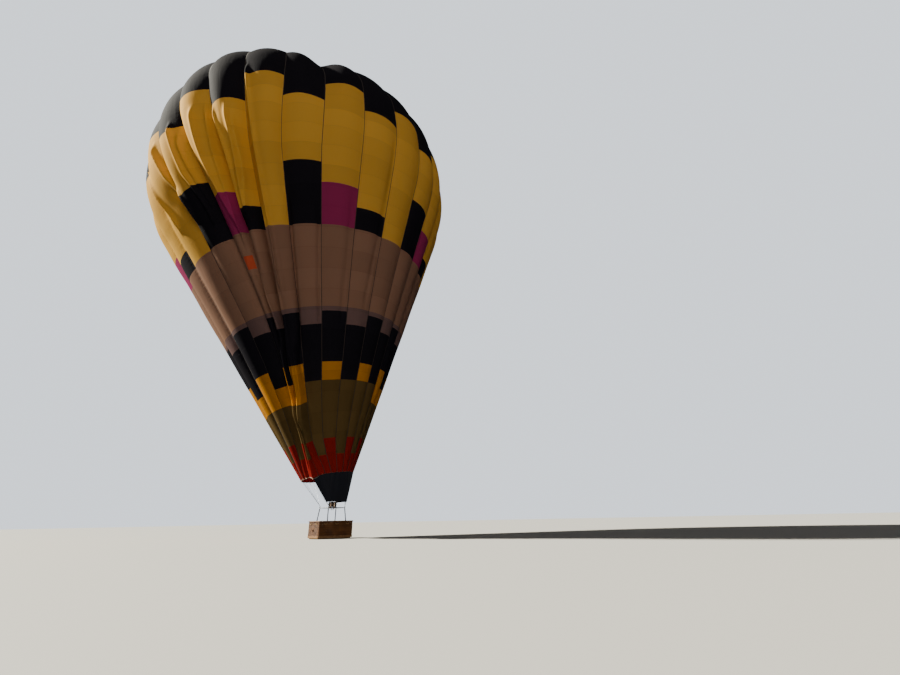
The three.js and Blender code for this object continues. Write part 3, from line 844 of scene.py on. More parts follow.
class Growth:
    """A Geometry Nodes tree: its sizes are named inputs, and it ends in real, dressed copies."""

    sizes: dict[str, float | int] = {}

    def __init__(self) -> None:
        """Makes the tree, with its sizes and its finish as named inputs."""
        self.tree = bpy.data.node_groups.new(type(self).__name__.lower(), "GeometryNodeTree")
        face = self.tree.interface
        face.new_socket("Geometry", in_out="OUTPUT", socket_type="NodeSocketGeometry")
        face.new_socket("Geometry", in_out="INPUT", socket_type="NodeSocketGeometry")
        self.identifiers: dict[str, str] = {}
        for key, value in self.sizes.items():
            kind = "NodeSocketInt" if isinstance(value, int) else "NodeSocketFloat"
            socket = face.new_socket(key, in_out="INPUT", socket_type=kind)
            socket.default_value = value
            self.identifiers[key] = socket.identifier
        socket = face.new_socket("finish", in_out="INPUT", socket_type="NodeSocketMaterial")
        self.identifiers["finish"] = socket.identifier
        self.add = partial(add_node, self.tree)
        self.given = self.add("NodeGroupInput").outputs
        real = self.add("GeometryNodeRealizeInstances", [self.shape()])
        dressed = self.add("GeometryNodeSetMaterial", {"Geometry": real, "Material": self.given["finish"]})
        self.add("NodeGroupOutput", [dressed])

    def shape(self) -> Node:
        """Makes the tree's own nodes and gives back the last of them."""
        raise NotImplementedError

    def lines(self) -> Node:
        """The given lines as curves."""
        return self.add("GeometryNodeMeshToCurve", [self.given["Geometry"]])

    def direction(self, name: str) -> Node:
        """A direction that the given points carry."""
        return self.add("GeometryNodeInputNamedAttribute", {"Name": name}, data_type="FLOAT_VECTOR")

    def bars(self, curves: Any, radius: Any, sides: Any) -> Node:
        """Round bars along curves, with closed ends.

        Args:
            curves: the curves.
            radius: how thick the bars are.
            sides: how many sides they have.

        Returns:
            The node that gives their mesh.
        """
        ring = self.add("GeometryNodeCurvePrimitiveCircle", {"Resolution": sides, "Radius": radius})
        return self.add("GeometryNodeCurveToMesh", {
            "Curve": curves, "Profile Curve": ring, "Fill Caps": True})

    def grow(self, source: Item, finish: Finish, **sizes: float | int) -> Item:
        """Grows the tree on a source, which it uses up, and makes the result a plain mesh.

        Args:
            source: the object with the lines or points that the tree follows.
            finish: what the result is made of.
            sizes: values for the tree's named inputs.

        Returns:
            A new object with the source's name.
        """
        modifier = source.modifiers.new("growth", "NODES")
        modifier.node_group = self.tree
        for key, value in {**sizes, "finish": finish.material()}.items():
            modifier[self.identifiers[key]] = value
        graph = bpy.context.evaluated_depsgraph_get()
        mesh = bpy.data.meshes.new_from_object(source.evaluated_get(graph))
        source.modifiers.remove(modifier)
        name = source.name
        bpy.data.objects.remove(source)
        mesh.polygons.foreach_set("use_smooth", [True] * len(mesh.polygons))
        mesh.set_sharp_from_angle(angle=SHARP)
        made = bpy.data.objects.new(name, mesh)
        bpy.context.scene.collection.objects.link(made)
        return made


class Bars(Growth):
    """Round bars along lines."""

    sizes = {"radius": 0.01, "sides": 10}

    def shape(self) -> Node:
        """A circle pulled along each line."""
        return self.bars(self.lines(), self.given["radius"], self.given["sides"])


class Ropes(Growth):
    """Three-strand rope laid along lines."""

    sizes = {"radius": 0.01, "lay": 0.06, "step": 0.008, "sides": 6}

    def shape(self) -> Node:
        """Three strands that turn round each line once for each length of lay."""
        add = self.add
        even = add("GeometryNodeResampleCurve", {
            "Curve": self.lines(), "Length": self.given["step"]}, mode="LENGTH")
        strands = add("GeometryNodeDuplicateElements", {"Geometry": even, "Amount": 3}, domain="SPLINE")
        along = add("GeometryNodeSplineParameter").outputs["Length"]
        turns = add("ShaderNodeMath", [along, self.given["lay"]], operation="DIVIDE")
        copy = strands.outputs["Duplicate Index"]
        third = add("ShaderNodeMath", [copy, 1 / 3, turns], operation="MULTIPLY_ADD")
        angle = add("ShaderNodeMath", [third, TURN], operation="MULTIPLY")
        normal = add("GeometryNodeInputNormal")
        tangent = add("GeometryNodeInputTangent")
        side = add("ShaderNodeVectorMath", [tangent, normal], operation="CROSS_PRODUCT")
        cosine = add("ShaderNodeMath", [angle], operation="COSINE")
        sine = add("ShaderNodeMath", [angle], operation="SINE")
        out = add("ShaderNodeVectorMath", {"Vector": normal, "Scale": cosine}, operation="SCALE")
        across = add("ShaderNodeVectorMath", {"Vector": side, "Scale": sine}, operation="SCALE")
        both = add("ShaderNodeVectorMath", [out, across], operation="ADD")
        half = add("ShaderNodeMath", [self.given["radius"], 0.5], operation="MULTIPLY")
        offset = add("ShaderNodeVectorMath", {"Vector": both, "Scale": half}, operation="SCALE")
        laid = add("GeometryNodeSetPosition", {"Geometry": strands, "Offset": offset})
        return self.bars(laid, half, self.given["sides"])


class Stitches(Growth):
    """Stitches, or other short thick threads, one after another along lines."""

    sizes = {"pitch": 0.02, "length": 0.014, "thick": 0.002}

    def shape(self) -> Node:
        """A long bead at every pitch, turned along its line."""
        add = self.add
        even = add("GeometryNodeResampleCurve", {
            "Curve": self.lines(), "Length": self.given["pitch"]}, mode="LENGTH")
        bead = add("GeometryNodeMeshUVSphere", {"Segments": 6, "Rings": 4, "Radius": 0.5})
        size = add("ShaderNodeCombineXYZ", [self.given["thick"], self.given["thick"], self.given["length"]])
        tangent = add("GeometryNodeInputTangent")
        turn = add("FunctionNodeAlignRotationToVector", {"Vector": tangent}, axis="Z")
        return add("GeometryNodeInstanceOnPoints", {
            "Points": even, "Instance": bead, "Rotation": turn, "Scale": size})


class Bolts(Growth):
    """Hexagon bolt heads on washers, standing on points along each point's direction."""

    sizes = {"radius": 0.006, "height": 0.005}

    def shape(self) -> Node:
        """A head on a washer at every point."""
        add, radius, height = self.add, self.given["radius"], self.given["height"]
        wide = add("ShaderNodeMath", [radius, 1.5], operation="MULTIPLY")
        thin = add("ShaderNodeMath", [height, 0.3], operation="MULTIPLY")
        washer = add("GeometryNodeMeshCylinder", {"Vertices": 14, "Radius": wide, "Depth": thin})
        head = add("GeometryNodeMeshCylinder", {"Vertices": 6, "Radius": radius, "Depth": height})
        half = add("ShaderNodeMath", [height, 0.5], operation="MULTIPLY")
        lift = add("ShaderNodeCombineXYZ", {"Z": half})
        raised = add("GeometryNodeSetPosition", {"Geometry": head, "Offset": lift})
        both = add("GeometryNodeJoinGeometry")
        self.tree.links.new(washer.outputs["Mesh"], both.inputs[0])
        self.tree.links.new(raised.outputs[0], both.inputs[0])
        turn = add("FunctionNodeAlignRotationToVector", {"Vector": self.direction("out")}, axis="Z")
        return add("GeometryNodeInstanceOnPoints", {
            "Points": self.given["Geometry"], "Instance": both, "Rotation": turn})


class Tapes(Growth):
    """Flat tapes along lines, each as wide as its points' own direction across says."""

    sizes = {"width": 0.044}

    def shape(self) -> Node:
        """Each line drawn out sideways to a strip that faces outwards."""
        add = self.add
        whole = add("ShaderNodeVectorMath", {
            "Vector": self.direction("across"), "Scale": self.given["width"]}, operation="SCALE")
        half = add("ShaderNodeVectorMath", {"Vector": whole, "Scale": -0.5}, operation="SCALE")
        edge = add("GeometryNodeSetPosition", {"Geometry": self.given["Geometry"], "Offset": half})
        strip = add("GeometryNodeExtrudeMesh", {
            "Mesh": edge, "Offset": whole, "Offset Scale": 1.0}, mode="EDGES")
        facing = add("ShaderNodeVectorMath", [
            add("GeometryNodeInputNormal"), self.direction("out")], operation="DOT_PRODUCT")
        inward = add("FunctionNodeCompare", {"A": facing.outputs["Value"], "B": 0.0}, operation="LESS_THAN")
        return add("GeometryNodeFlipFaces", {"Mesh": strip.outputs["Mesh"], "Selection": inward})


class Weave(Growth):
    """Willow rods woven in rows round stakes, with openings left in them."""

    sizes = {
        "rows": 40, "row_height": 0.02, "stake_pitch": 0.06, "sway": 0.01, "radius": 0.0095, "sides": 6,
        "hole_along": -9.0, "second_hole_along": -9.0, "hole_height": 0.0, "hole_wide": 0.1,
        "hole_tall": 0.06}

    def outside(self, place: str, along: Any, height: Any) -> Node:
        """How far a point lies from an oval hole's middle.

        Args:
            place: the input that says where the hole is along the panel.
            along: how far along the panel the point is.
            height: how far above the first row it is.

        Returns:
            A number that is 1 at the hole's edge and less inside it.
        """
        add = self.add
        off = add("ShaderNodeMath", [along, self.given[place]], operation="SUBTRACT")
        wide = add("ShaderNodeMath", [off, self.given["hole_wide"]], operation="DIVIDE")
        up = add("ShaderNodeMath", [height, self.given["hole_height"]], operation="SUBTRACT")
        tall = add("ShaderNodeMath", [up, self.given["hole_tall"]], operation="DIVIDE")
        across = add("ShaderNodeMath", [wide, wide], operation="MULTIPLY")
        return add("ShaderNodeMath", [tall, tall, across], operation="MULTIPLY_ADD")

    def shape(self) -> Node:
        """Rows of the given line, each swaying past the stakes the other way from the last."""
        add, given = self.add, self.given
        step = add("ShaderNodeCombineXYZ", {"Z": given["row_height"]})
        column = add("GeometryNodeMeshLine", {"Count": given["rows"], "Offset": step})
        numbered = add("GeometryNodeStoreNamedAttribute", {
            "Geometry": column, "Name": "rod", "Value": add("GeometryNodeInputIndex")}, data_type="INT")
        rows = add("GeometryNodeInstanceOnPoints", {"Points": numbered, "Instance": given["Geometry"]})
        real = add("GeometryNodeRealizeInstances", [rows])
        along = add("GeometryNodeInputNamedAttribute", {"Name": "along"}, data_type="FLOAT")
        out = self.direction("out")
        rod = add("GeometryNodeInputNamedAttribute", {"Name": "rod"}, data_type="INT")
        stakes = add("ShaderNodeMath", [along, given["stake_pitch"]], operation="DIVIDE")
        phase = add("ShaderNodeMath", [stakes, rod], operation="ADD")
        angle = add("ShaderNodeMath", [phase, math.pi], operation="MULTIPLY")
        wave = add("ShaderNodeMath", [angle], operation="COSINE")
        reach = add("ShaderNodeMath", [wave, given["sway"]], operation="MULTIPLY")
        offset = add("ShaderNodeVectorMath", {"Vector": out, "Scale": reach}, operation="SCALE")
        woven = add("GeometryNodeSetPosition", {"Geometry": real, "Offset": offset})
        height = add("ShaderNodeMath", [rod, given["row_height"]], operation="MULTIPLY")
        holes = ("hole_along", "second_hole_along")
        first, second = (self.outside(place, along, height) for place in holes)
        nearest = add("ShaderNodeMath", [first, second], operation="MINIMUM")
        inside = add("FunctionNodeCompare", {"A": nearest, "B": 1.0}, operation="LESS_THAN")
        opened = add("GeometryNodeDeleteGeometry", {"Geometry": woven, "Selection": inside})
        curves = add("GeometryNodeMeshToCurve", [opened])
        return self.bars(curves, given["radius"], given["sides"])


def line_object(name: str, lines: Sequence[Points], closed: bool = False, **fields: Points) -> Item:
    """Lines for a tree to follow, as edges between points.

    Args:
        name: the object's name.
        lines: the points of each line.
        closed: whether each line joins on to its own start.
        fields: values for every point in order, each a number or a direction.

    Returns:
        A mesh object with edges and no faces.
    """
    edges, start = [], 0
    for line in lines:
        numbers = list(range(start, start + len(line)))
        edges.extend(zip(numbers, numbers[1:]))
        if closed:
            edges.append((numbers[-1], numbers[0]))
        start += len(line)
    made = mesh_object(name, np.concatenate([np.asarray(line, float) for line in lines]), [], edges=edges)
    for key, values in fields.items():
        values = np.asarray(values, np.float32)
        kind, part = ("FLOAT_VECTOR", "vector") if values.ndim > 1 else ("FLOAT", "value")
        made.data.attributes.new(key, kind, "POINT").data.foreach_set(part, values.ravel())
    return made


def lengths_along(points: Points) -> Points:
    """The length along a path up to each of its points."""
    return np.concatenate([[0.0], np.cumsum(np.linalg.norm(np.diff(points, axis=0), axis=1))])


def evenly(points: Points, outward: Points, count: int) -> tuple[Points, Points, Points]:
    """An open path at evenly spaced points.

    Args:
        points: the path's own points.
        outward: the direction out of it at each.
        count: how many points it gets.

    Returns:
        New points, their outward directions, and how far along each is.
    """
    along = lengths_along(points)
    even = np.linspace(0, along[-1], count)
    path, out = (
        np.stack([np.interp(even, along, part) for part in values.T], 1) for values in (points, outward))
    return path, out / np.linalg.norm(out, axis=1)[:, None], even


def evenly_round(points: Points, outward: Points, count: int) -> tuple[Points, Points]:
    """A closed path at evenly spaced points.

    Args:
        points: the path's own points.
        outward: the direction out of it at each.
        count: how many points it gets.

    Returns:
        New points and their outward directions.
    """
    ring, outs = (np.concatenate([values, values[:1]]) for values in (points, outward))
    path, out, _ = evenly(ring, outs, count + 1)
    return path[:-1], out[:-1]


def capped_tube(rings: Points) -> Shape:
    """A tube with closed ends.

    Args:
        rings: its rings of points, row by row.

    Returns:
        Points and faces.
    """
    rows, columns = rings.shape[:2]
    numbers = np.arange(rows * columns).reshape(rows, columns)
    ends = [numbers[0, ::-1].tolist(), numbers[-1].tolist()]
    return rings.reshape(-1, 3), grid_faces(rows, columns, around=True).tolist() + ends


def swept(path: Points, outward: Points, section: Sequence[tuple[float, float]], closed: bool) -> Shape:
    """A level path with a closed section, given as out and up, drawn along it.

    Args:
        path: the path's points.
        outward: the level direction out of the path at each point.
        section: the section's points, anticlockwise as seen along the path.
        closed: whether the path joins on to its own start. Otherwise its ends are capped.

    Returns:
        Points and faces.
    """
    path, outward = np.asarray(path, float), np.asarray(outward, float)
    out, up = np.array(section).T
    rings = path[:, None, :] + outward[:, None, :] * out[None, :, None]
    rings[:, :, 2] += up
    if not closed:
        return capped_tube(rings)
    return rings.reshape(-1, 3), grid_faces(*rings.shape[:2], around=True, looped=True).tolist()


def angles_round(count: int) -> Points:
    """Evenly spaced angles once round."""
    return np.linspace(0, TURN, count, endpoint=False)


def circle(radius: float, steps: int = 24) -> Points:
    """The points of a level circle round the origin."""
    angles = angles_round(steps)
    return np.stack([radius * np.cos(angles), radius * np.sin(angles), 0 * angles], 1)


def turned(profile: Sequence[tuple[float, float]], sides: int) -> Shape:
    """A shape turned about Z.

    Args:
        profile: radius and height pairs, going up its outer side. A ring's last pair is its first.
        sides: how many sides it has.

    Returns:
        Points and faces.
    """
    angles = angles_round(sides)
    points: list[tuple[float, float, float]] = []
    rings: list[list[int]] = []
    for radius, height in profile:
        start = len(points)
        ring = angles if radius > 0 else angles[:1]
        points.extend((radius * math.cos(a), radius * math.sin(a), height) for a in ring)
        rings.append(list(range(start, start + len(ring))))
    if profile[0] == profile[-1]:
        del points[rings[-1][0] :]
        rings[-1] = rings[0]
    faces = []
    for low, high in zip(rings, rings[1:]):
        for i in range(sides):
            j = (i + 1) % sides
            corners = (low[i % len(low)], low[j % len(low)], high[j % len(high)], high[i % len(high)])
            faces.append(list(dict.fromkeys(corners)))
    return np.array(points), [face for face in faces if len(face) > 2]


def rod(radius: float, low: float, high: float, sides: int = 24) -> Shape:
    """A round bar about Z between two heights."""
    return turned([(0, low), (radius, low), (radius, high), (0, high)], sides)


def chamfered(size: tuple[float, float, float], bevel: float, steps: int = 2) -> Shape:
    """A box round the origin with its edges rounded off.

    Args:
        size: its lengths along X, Y and Z.
        bevel: how far the rounding reaches from each edge.
        steps: how many faces it has.

    Returns:
        Points and faces.
    """
    work = bmesh.new()
    bmesh.ops.create_cube(work, size=1)
    bmesh.ops.scale(work, vec=size, verts=work.verts)
    bmesh.ops.bevel(work, geom=work.edges[:], offset=bevel, segments=steps, affect="EDGES", profile=0.5)
    points = np.array([vertex.co for vertex in work.verts])
    faces = [[vertex.index for vertex in face.verts] for face in work.faces]
    work.free()
    return points, faces


def rounded_outline(length: float, width: float, corner: float, steps: int = 8) -> tuple[Points, Points]:
    """A level rectangle with round corners, and the direction out of it at each point.

    Args:
        length: its size along X.
        width: its size along Y.
        corner: the radius of its corners.
        steps: how many parts each corner has.

    Returns:
        Points and outward directions, anticlockwise from the +X side.
    """
    points, outward = [], []
    for number, (sx, sy) in enumerate(CORNERS):
        for angle in np.linspace(0, math.pi / 2, steps + 1) + number * math.pi / 2:
            out = np.array([math.cos(angle), math.sin(angle), 0.0])
            middle = np.array([sx * (length / 2 - corner), sy * (width / 2 - corner), 0.0])
            points.append(middle + corner * out)
            outward.append(out)
    return np.array(points), np.array(outward)


def oval_section(width: float, height: float, squareness: float, steps: int) -> list[tuple[float, float]]:
    """A closed section like a cushion's.

    Args:
        width: its size across.
        height: its size up.
        squareness: 2 for an oval, and more for a squarer shape.
        steps: how many points it has.

    Returns:
        Out and up pairs round its middle.
    """
    angles = angles_round(steps)
    across, up = (
        size / 2 * np.copysign(np.abs(part) ** (2 / squareness), part)
        for size, part in ((width, np.cos(angles)), (height, np.sin(angles))))
    return list(zip(across.tolist(), up.tolist()))


def pierced_wall(radius: float, thickness: float, heights: Sequence[float], sides: int,
                 is_open: Callable[[int, int], bool]) -> Shape:
    """A thin round wall with openings.

    Args:
        radius: its outer radius.
        thickness: how thick it is.
        heights: the heights of its rows of points.
        sides: how many points each row has.
        is_open: whether the part of the wall at a row and a column is left out.

    Returns:
        Points and faces.
    """
    rings = [circle(reach, sides) + [0, 0, height]
             for reach in (radius, radius - thickness) for height in heights]
    inner = len(heights) * sides
    quads = grid_faces(len(heights), sides, around=True).tolist()
    kept = [quad for number, quad in enumerate(quads) if not is_open(*divmod(number, sides))]
    edges = {pair for quad in kept for pair in zip(quad, [*quad[1:], quad[0]])}
    rims = [[b, a, inner + a, inner + b] for a, b in sorted(edges) if (b, a) not in edges]
    behind = [[inner + corner for corner in quad[::-1]] for quad in kept]
    return np.concatenate(rings), kept + behind + rims


def placed(shape: Shape, at: Any = (0, 0, 0), along: Any = (0, 0, 1)) -> Shape:
    """A shape turned and moved to its place.

    Args:
        shape: its points and faces.
        at: where its origin goes.
        along: the direction that its own Z takes.

    Returns:
        New points and the same faces.
    """
    points, faces = shape
    turn = np.array(Vector((0, 0, 1)).rotation_difference(Vector(along)).to_matrix())
    return points @ turn.T + np.asarray(at, float), faces


def helix(radius: float, bottom: float, pitch: float, turns: int, steps: int = 28) -> Points:
    """The line of a coil about Z."""
    angles = np.linspace(0, TURN * turns, turns * steps + 1)
    return np.stack([radius * np.cos(angles), radius * np.sin(angles), bottom + pitch * angles / TURN], 1)


def facing_out(shape: Shape) -> Shape:
    """A closed shape with its faces turned outwards.

    Args:
        shape: its points and faces.

    Returns:
        Points and faces, the same as before where the shape is open.
    """
    points, faces = shape
    edges = {pair for face in faces for pair in zip(face, [*face[1:], face[0]])}
    if any((end, start) not in edges for start, end in edges):
        return shape
    corners = points - points.mean(axis=0)
    triangles = np.array([(face[0], b, c) for face in faces for b, c in zip(face[1:], face[2:])])
    first, second, third = (corners[triangles[:, number]] for number in range(3))
    volume = np.einsum("ij,ij->", first, np.cross(second, third))
    return shape if volume > 0 else (points, [face[::-1] for face in faces])


class Piece:
    """Loose shapes, each with its own finish, that become one named piece."""

    def __init__(self, name: str, offset: Any = (0, 0, 0)) -> None:
        """Starts an empty piece.

        Args:
            name: its name.
            offset: how far all its shapes are moved.
        """
        self.name = name
        self.offset = np.asarray(offset, float)
        self.points: list[Points] = []
        self.faces: list[list[int]] = []
        self.finishes: list[Finish] = []
        self.numbers: list[int] = []
        self.count = 0

    def add(self, shape: Shape, finish: Finish, at: Any = (0, 0, 0), along: Any = (0, 0, 1)) -> None:
        """Adds a shape at a place, with its own Z along a direction."""
        self.keep(facing_out(placed(shape, at, along)), finish)

    def keep(self, shape: Shape, finish: Finish) -> None:
        """Adds a shape as it is.

        Args:
            shape: its points and faces.
            finish: what it is made of.
        """
        points, faces = shape
        if finish not in self.finishes:
            self.finishes.append(finish)
        self.points.append(points + self.offset)
        self.faces.extend([corner + self.count for corner in face] for face in faces)
        self.numbers.extend([self.finishes.index(finish)] * len(faces))
        self.count += len(points)

    def grow(self, tree: Growth, lines: Sequence[Points], finish: Finish, closed: bool = False,
             fields: Mapping[str, Points] | None = None, **sizes: float | int) -> None:
        """Adds what a tree makes of some lines, moved by the offset too.

        Args:
            tree: the tree.
            lines: the points of each line.
            finish: what the result is made of.
            closed: whether each line joins on to its own start.
            fields: values for every point in order, by name.
            sizes: values for the tree's named inputs.
        """
        source = line_object(self.name + "_part", lines, closed, **(fields or {}))
        grown = tree.grow(source, finish, **sizes)
        mesh = grown.data
        points = np.zeros(len(mesh.vertices) * 3)
        mesh.vertices.foreach_get("co", points)
        self.keep((points.reshape(-1, 3), [list(face.vertices) for face in mesh.polygons]), finish)
        bpy.data.objects.remove(grown)
        bpy.data.meshes.remove(mesh)

    def finish(self, body: str, slot: str, *nodes: str) -> Item:
        """Makes the piece and rides it on a body.

        Args:
            body: the body's name.
            slot: the piece's slot, which is not used.
            nodes: the nodes that it stands for.

        Returns:
            The piece's object.
        """
        made = mesh_object(self.name, np.concatenate(self.points), self.faces)
        for finish in self.finishes:
            made.data.materials.append(finish.material())
        made.data.polygons.foreach_set("material_index", self.numbers)
        made.data.set_sharp_from_angle(angle=SHARP)
        return dressed(made, body, slot, *nodes)


def dressed(made: Item, body: str, slot: str, *nodes: str) -> Item:
    """Rides a finished object on a body and hides the nodes that it stands for.

    Args:
        made: the object.
        body: the body's name.
        slot: the object's slot, which is not used.
        nodes: the nodes that it stands for.

    Returns:
        The same object.
    """
    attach(made, body)
    if nodes:
        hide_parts(*nodes)
    log.info("made %s with %d faces", made.name, len(made.data.polygons))
    return made


class Trees:
    """The Geometry Nodes trees that the sub-assemblies share."""

    def __init__(self) -> None:
        """Builds each tree once."""
        self.bars, self.ropes, self.stitches = Bars(), Ropes(), Stitches()
        self.bolts, self.tapes, self.weave = Bolts(), Tapes(), Weave()


FRAME_X = 0.609
FRAME_Y = 0.579
FRAME_Z = 1.88


# Sub-assemblies


@dataclass
class Envelope:
    """The canopy cloth, from the mouth to the opening in the crown."""

    shape: EnvelopeShape
    row_spacing: float = 0.22
    fine_gores: tuple[int, int] = (11, 17)
    fine_columns: int = 40
    columns: int = 13
    olive_gores: tuple[int, int] = (16, 21)
    olive_heights: tuple[float, float] = (7.55, 8.7)
    patch_gores: tuple[float, float] = (13.32, 13.9)
    patch_heights: tuple[float, float] = (15.75, 16.55)

    def gore_places(self) -> Points:
        """The seam coordinates of the mesh's columns, closer together where the folds are."""
        places = []
        for number in range(self.shape.gores):
            fine = self.fine_gores[0] <= number < self.fine_gores[1]
            count = self.fine_columns if fine else self.columns
            places.append(number + np.arange(count) / count)
        return np.concatenate(places)

    def arc_places(self) -> Points:
        """The lengths up the cloth of the mesh's rows, with a row on the edge of every band."""
        heights = {band.height for plan in BAND_PLANS for band in plan[1:]} | set(self.patch_heights)
        edges = [0.0, *sorted(self.shape.arc_of(h) for h in heights)]
        edges.append(float(self.shape.arc_of_radius(self.shape.profile.opening_radius)))
        places = []
        for low, high in zip(edges, edges[1:]):
            count = max(1, round((high - low) / self.row_spacing))
            places.extend(low + (high - low) * np.arange(count) / count)
        return np.array([*places, edges[-1]])

    def dyes(self, gores: Points, arcs: Points) -> Points:
        """The colour of each face, from the plan of its gore's bands.

        Args:
            gores: the seam coordinate at each face's middle.
            arcs: the length up the cloth at each face's middle.

        Returns:
            One linear colour for each face.
        """
        heights = np.interp(arcs, self.shape.arcs, self.shape.heights)
        whole = np.floor(gores).astype(int)
        colours = np.zeros((len(gores), 4))
        for kind, plan in enumerate(BAND_PLANS):
            own = whole % len(BAND_PLANS) == kind
            for band in plan:
                colours[own & (heights > band.height)] = linear(band.colour.value)
        places = ((self.olive_gores, self.olive_heights, Cloth.OLIVE),
                  (self.patch_gores, self.patch_heights, Cloth.PATCH))
        for (first, last), (low, high), cloth in places:
            inside = (gores > first) & (gores < last) & (heights > low) & (heights < high)
            colours[inside] = linear(cloth.value)
        return colours

    def build(self) -> Item:
        """The canopy as one continuous sheet whose first and last gores share a seam."""
        arcs = self.arc_places()
        gores = self.gore_places()
        points = self.shape.at(gores[None, :], arcs[:, None]).reshape(-1, 3)
        faces = grid_faces(len(arcs), len(gores), around=True)
        made = mesh_object("envelope_cloth", points, faces)
        across = np.append(gores, self.shape.gores)
        column = np.arange(len(faces)) % len(gores)
        row = np.arange(len(faces)) // len(gores)
        pairs = [(column, row), (column + 1, row), (column + 1, row + 1), (column, row + 1)]
        corners = np.stack([np.stack([across[c], arcs[r]], axis=1) for c, r in pairs], axis=1)
        layer = made.data.uv_layers.new(name="cloth")
        layer.uv.foreach_set("vector", corners.astype(np.float32).ravel())
        dye = made.data.attributes.new("dye", "FLOAT_COLOR", "CORNER")
        colours = self.dyes(corners[:, :, 0].mean(1), corners[:, :, 1].mean(1))
        dye.data.foreach_set("color", np.repeat(colours, 4, axis=0).astype(np.float32).ravel())
        made.data.materials.append(CANOPY.material())
        names = (f"gore_{number:02d}" for number in range(1, self.shape.gores + 1))
        return dressed(made, "airframe", "canopy_gold", *names)


@dataclass
class Crown:
    """The load tapes that run over the top, their hub and ring, and the valve below them."""

    shape: EnvelopeShape
    trees: Trees
    tape_width: float = 0.044
    tape_proud: float = 0.010
    tape_step: float = 0.24
    hub_radius: float = 0.2
    hub_thickness: float = 0.01
    hub_seams: tuple[float, ...] = (0.19, 0.178)
    tape_overlap: float = 0.04
    ring_outer: float = 0.17
    ring_inner: float = 0.125
    ring_height: float = 0.022
    ring_above: float = 0.0004
    valve_radius: float = 3.7
    valve_below: float = 0.027
    valve_rows: int = 30
    valve_columns: int = 168
    patch_radius: float = 0.12
    wrinkle: float = 0.003
    seam_depth: float = 0.022

    def build_tapes(self) -> Item:
        """A tape down every seam, from the hub at the crown to the mouth."""
        shape = self.shape
        top = float(shape.arc_of_radius(self.hub_radius - self.tape_overlap))
        arcs = np.linspace(0.0, top, round(top / self.tape_step) + 1)
        lines, across, out = [], [], []
        for seam in range(shape.gores):
            points = shape.at(seam, arcs)
            sideways = shape.plain(1.0, shape.seam_angle(seam) + math.pi / 2, shape.profile.lift_at)
            outward = np.cross(sideways, np.gradient(points, axis=0))
            outward /= np.linalg.norm(outward, axis=1)[:, None]
            lines.append(points + outward * self.tape_proud)
            across.append(np.tile(sideways, (len(points), 1)))
            out.append(outward)
        fields = {"across": np.concatenate(across), "out": np.concatenate(out)}
        piece = Piece("load_tapes")
        piece.grow(self.trees.tapes, lines, LOAD_WEBBING, fields=fields, width=self.tape_width)
        crown = shape.crown()
        disc = [(0, -self.hub_thickness), (self.hub_radius, -self.hub_thickness),
                (self.hub_radius, -0.002), (self.hub_radius - 0.006, 0), (0, 0)]
        piece.add(turned(disc, 56), LOAD_WEBBING, crown, shape.axis)
        seams = [placed((circle(radius, 56), []), crown, shape.axis)[0] for radius in self.hub_seams]
        piece.grow(self.trees.stitches, seams, THREAD, closed=True, pitch=0.02, length=0.013, thick=0.003)
        return piece.finish("airframe", "load_tape", "crown_tapes")

    def build_ring(self) -> Item:
        """The round-edged ring that the tapes are drawn up to."""
        section = oval_section(self.ring_outer - self.ring_inner, self.ring_height, 4.0, 16)
        radius = (self.ring_outer + self.ring_inner) / 2
        profile = [(radius + out, self.ring_height / 2 + up) for out, up in section]
        piece = Piece("ring_at_crown")
        middle = self.shape.crown(self.ring_above)
        piece.add(turned([*profile, profile[0]], 96), ALUMINIUM, middle, self.shape.axis)
        return piece.finish("airframe", "ring_aluminium", "crown_ring")

    def build_valve(self) -> Item:
        """The round panel of cloth that lies against the tapes from inside."""
        shape = self.shape
        inmost = np.linspace(self.patch_radius * 0.6, self.valve_radius, self.valve_rows)
        radii = np.concatenate([[0.02], inmost])
        angles = angles_round(self.valve_columns)
        radius, angle = np.meshgrid(radii, angles, indexing="ij")
        flat = smoothstep(self.patch_radius, self.patch_radius + 0.1, radius)
        depth = (self.hub_thickness + 0.001) * (1 - flat)
        depth = depth + flat * (self.valve_below + self.seam_depth * radius)
        pull = np.cos(shape.gores * (angle - shape.first_seam)) * self.wrinkle * radius / self.valve_radius
        points = shape.cap_place(radius, angle, depth - pull).reshape(-1, 3)
        faces = grid_faces(len(radii), len(angles), around=True).tolist()
        faces.append(list(range(len(angles)))[::-1])
        made = mesh_object("valve_panel", points, [face[::-1] for face in faces])
        made.data.materials.append(VALVE_CLOTH.material())
        dressed(made, "valve", "canopy_black", "parachute_valve")
        return made


@dataclass
class Mouth:
    """The hem of webbing round the mouth, with its edge tape and its stitching."""

    shape: EnvelopeShape
    trees: Trees
    height: float = 0.062
    above: float = 0.004
    proud: float = 0.004
    columns: int = 10
    rows: int = 4
    edge_radius: float = 0.009

    def build(self) -> Item:
        """The hem as one band that follows the lobes of the cloth."""
        gores = np.arange(self.shape.gores * self.columns) / self.columns
        arcs = np.linspace(-self.height, self.above, self.rows + 1)
        outer = self.shape.at(gores[None, :], arcs[:, None], self.proud)
        inner = self.shape.at(gores[None, :], arcs[::-1, None], -self.proud)
        around = np.concatenate([outer, inner])
        faces = grid_faces(len(around), len(gores), around=True, looped=True).tolist()
        piece = Piece("mouth_hem")
        piece.add((around.reshape(-1, 3), faces), RED_WEBBING)
        edge = self.shape.at(gores, -self.height, 0.0)
        piece.grow(self.trees.bars, [edge], PALE_WEBBING, closed=True, radius=self.edge_radius, sides=8)
        upper = self.shape.at(gores, -0.006, self.proud + 0.001)
        piece.grow(self.trees.stitches, [upper], THREAD, closed=True, pitch=0.03, length=0.02, thick=0.004)
        return piece.finish("airframe", "canopy_red", "mouth_band")


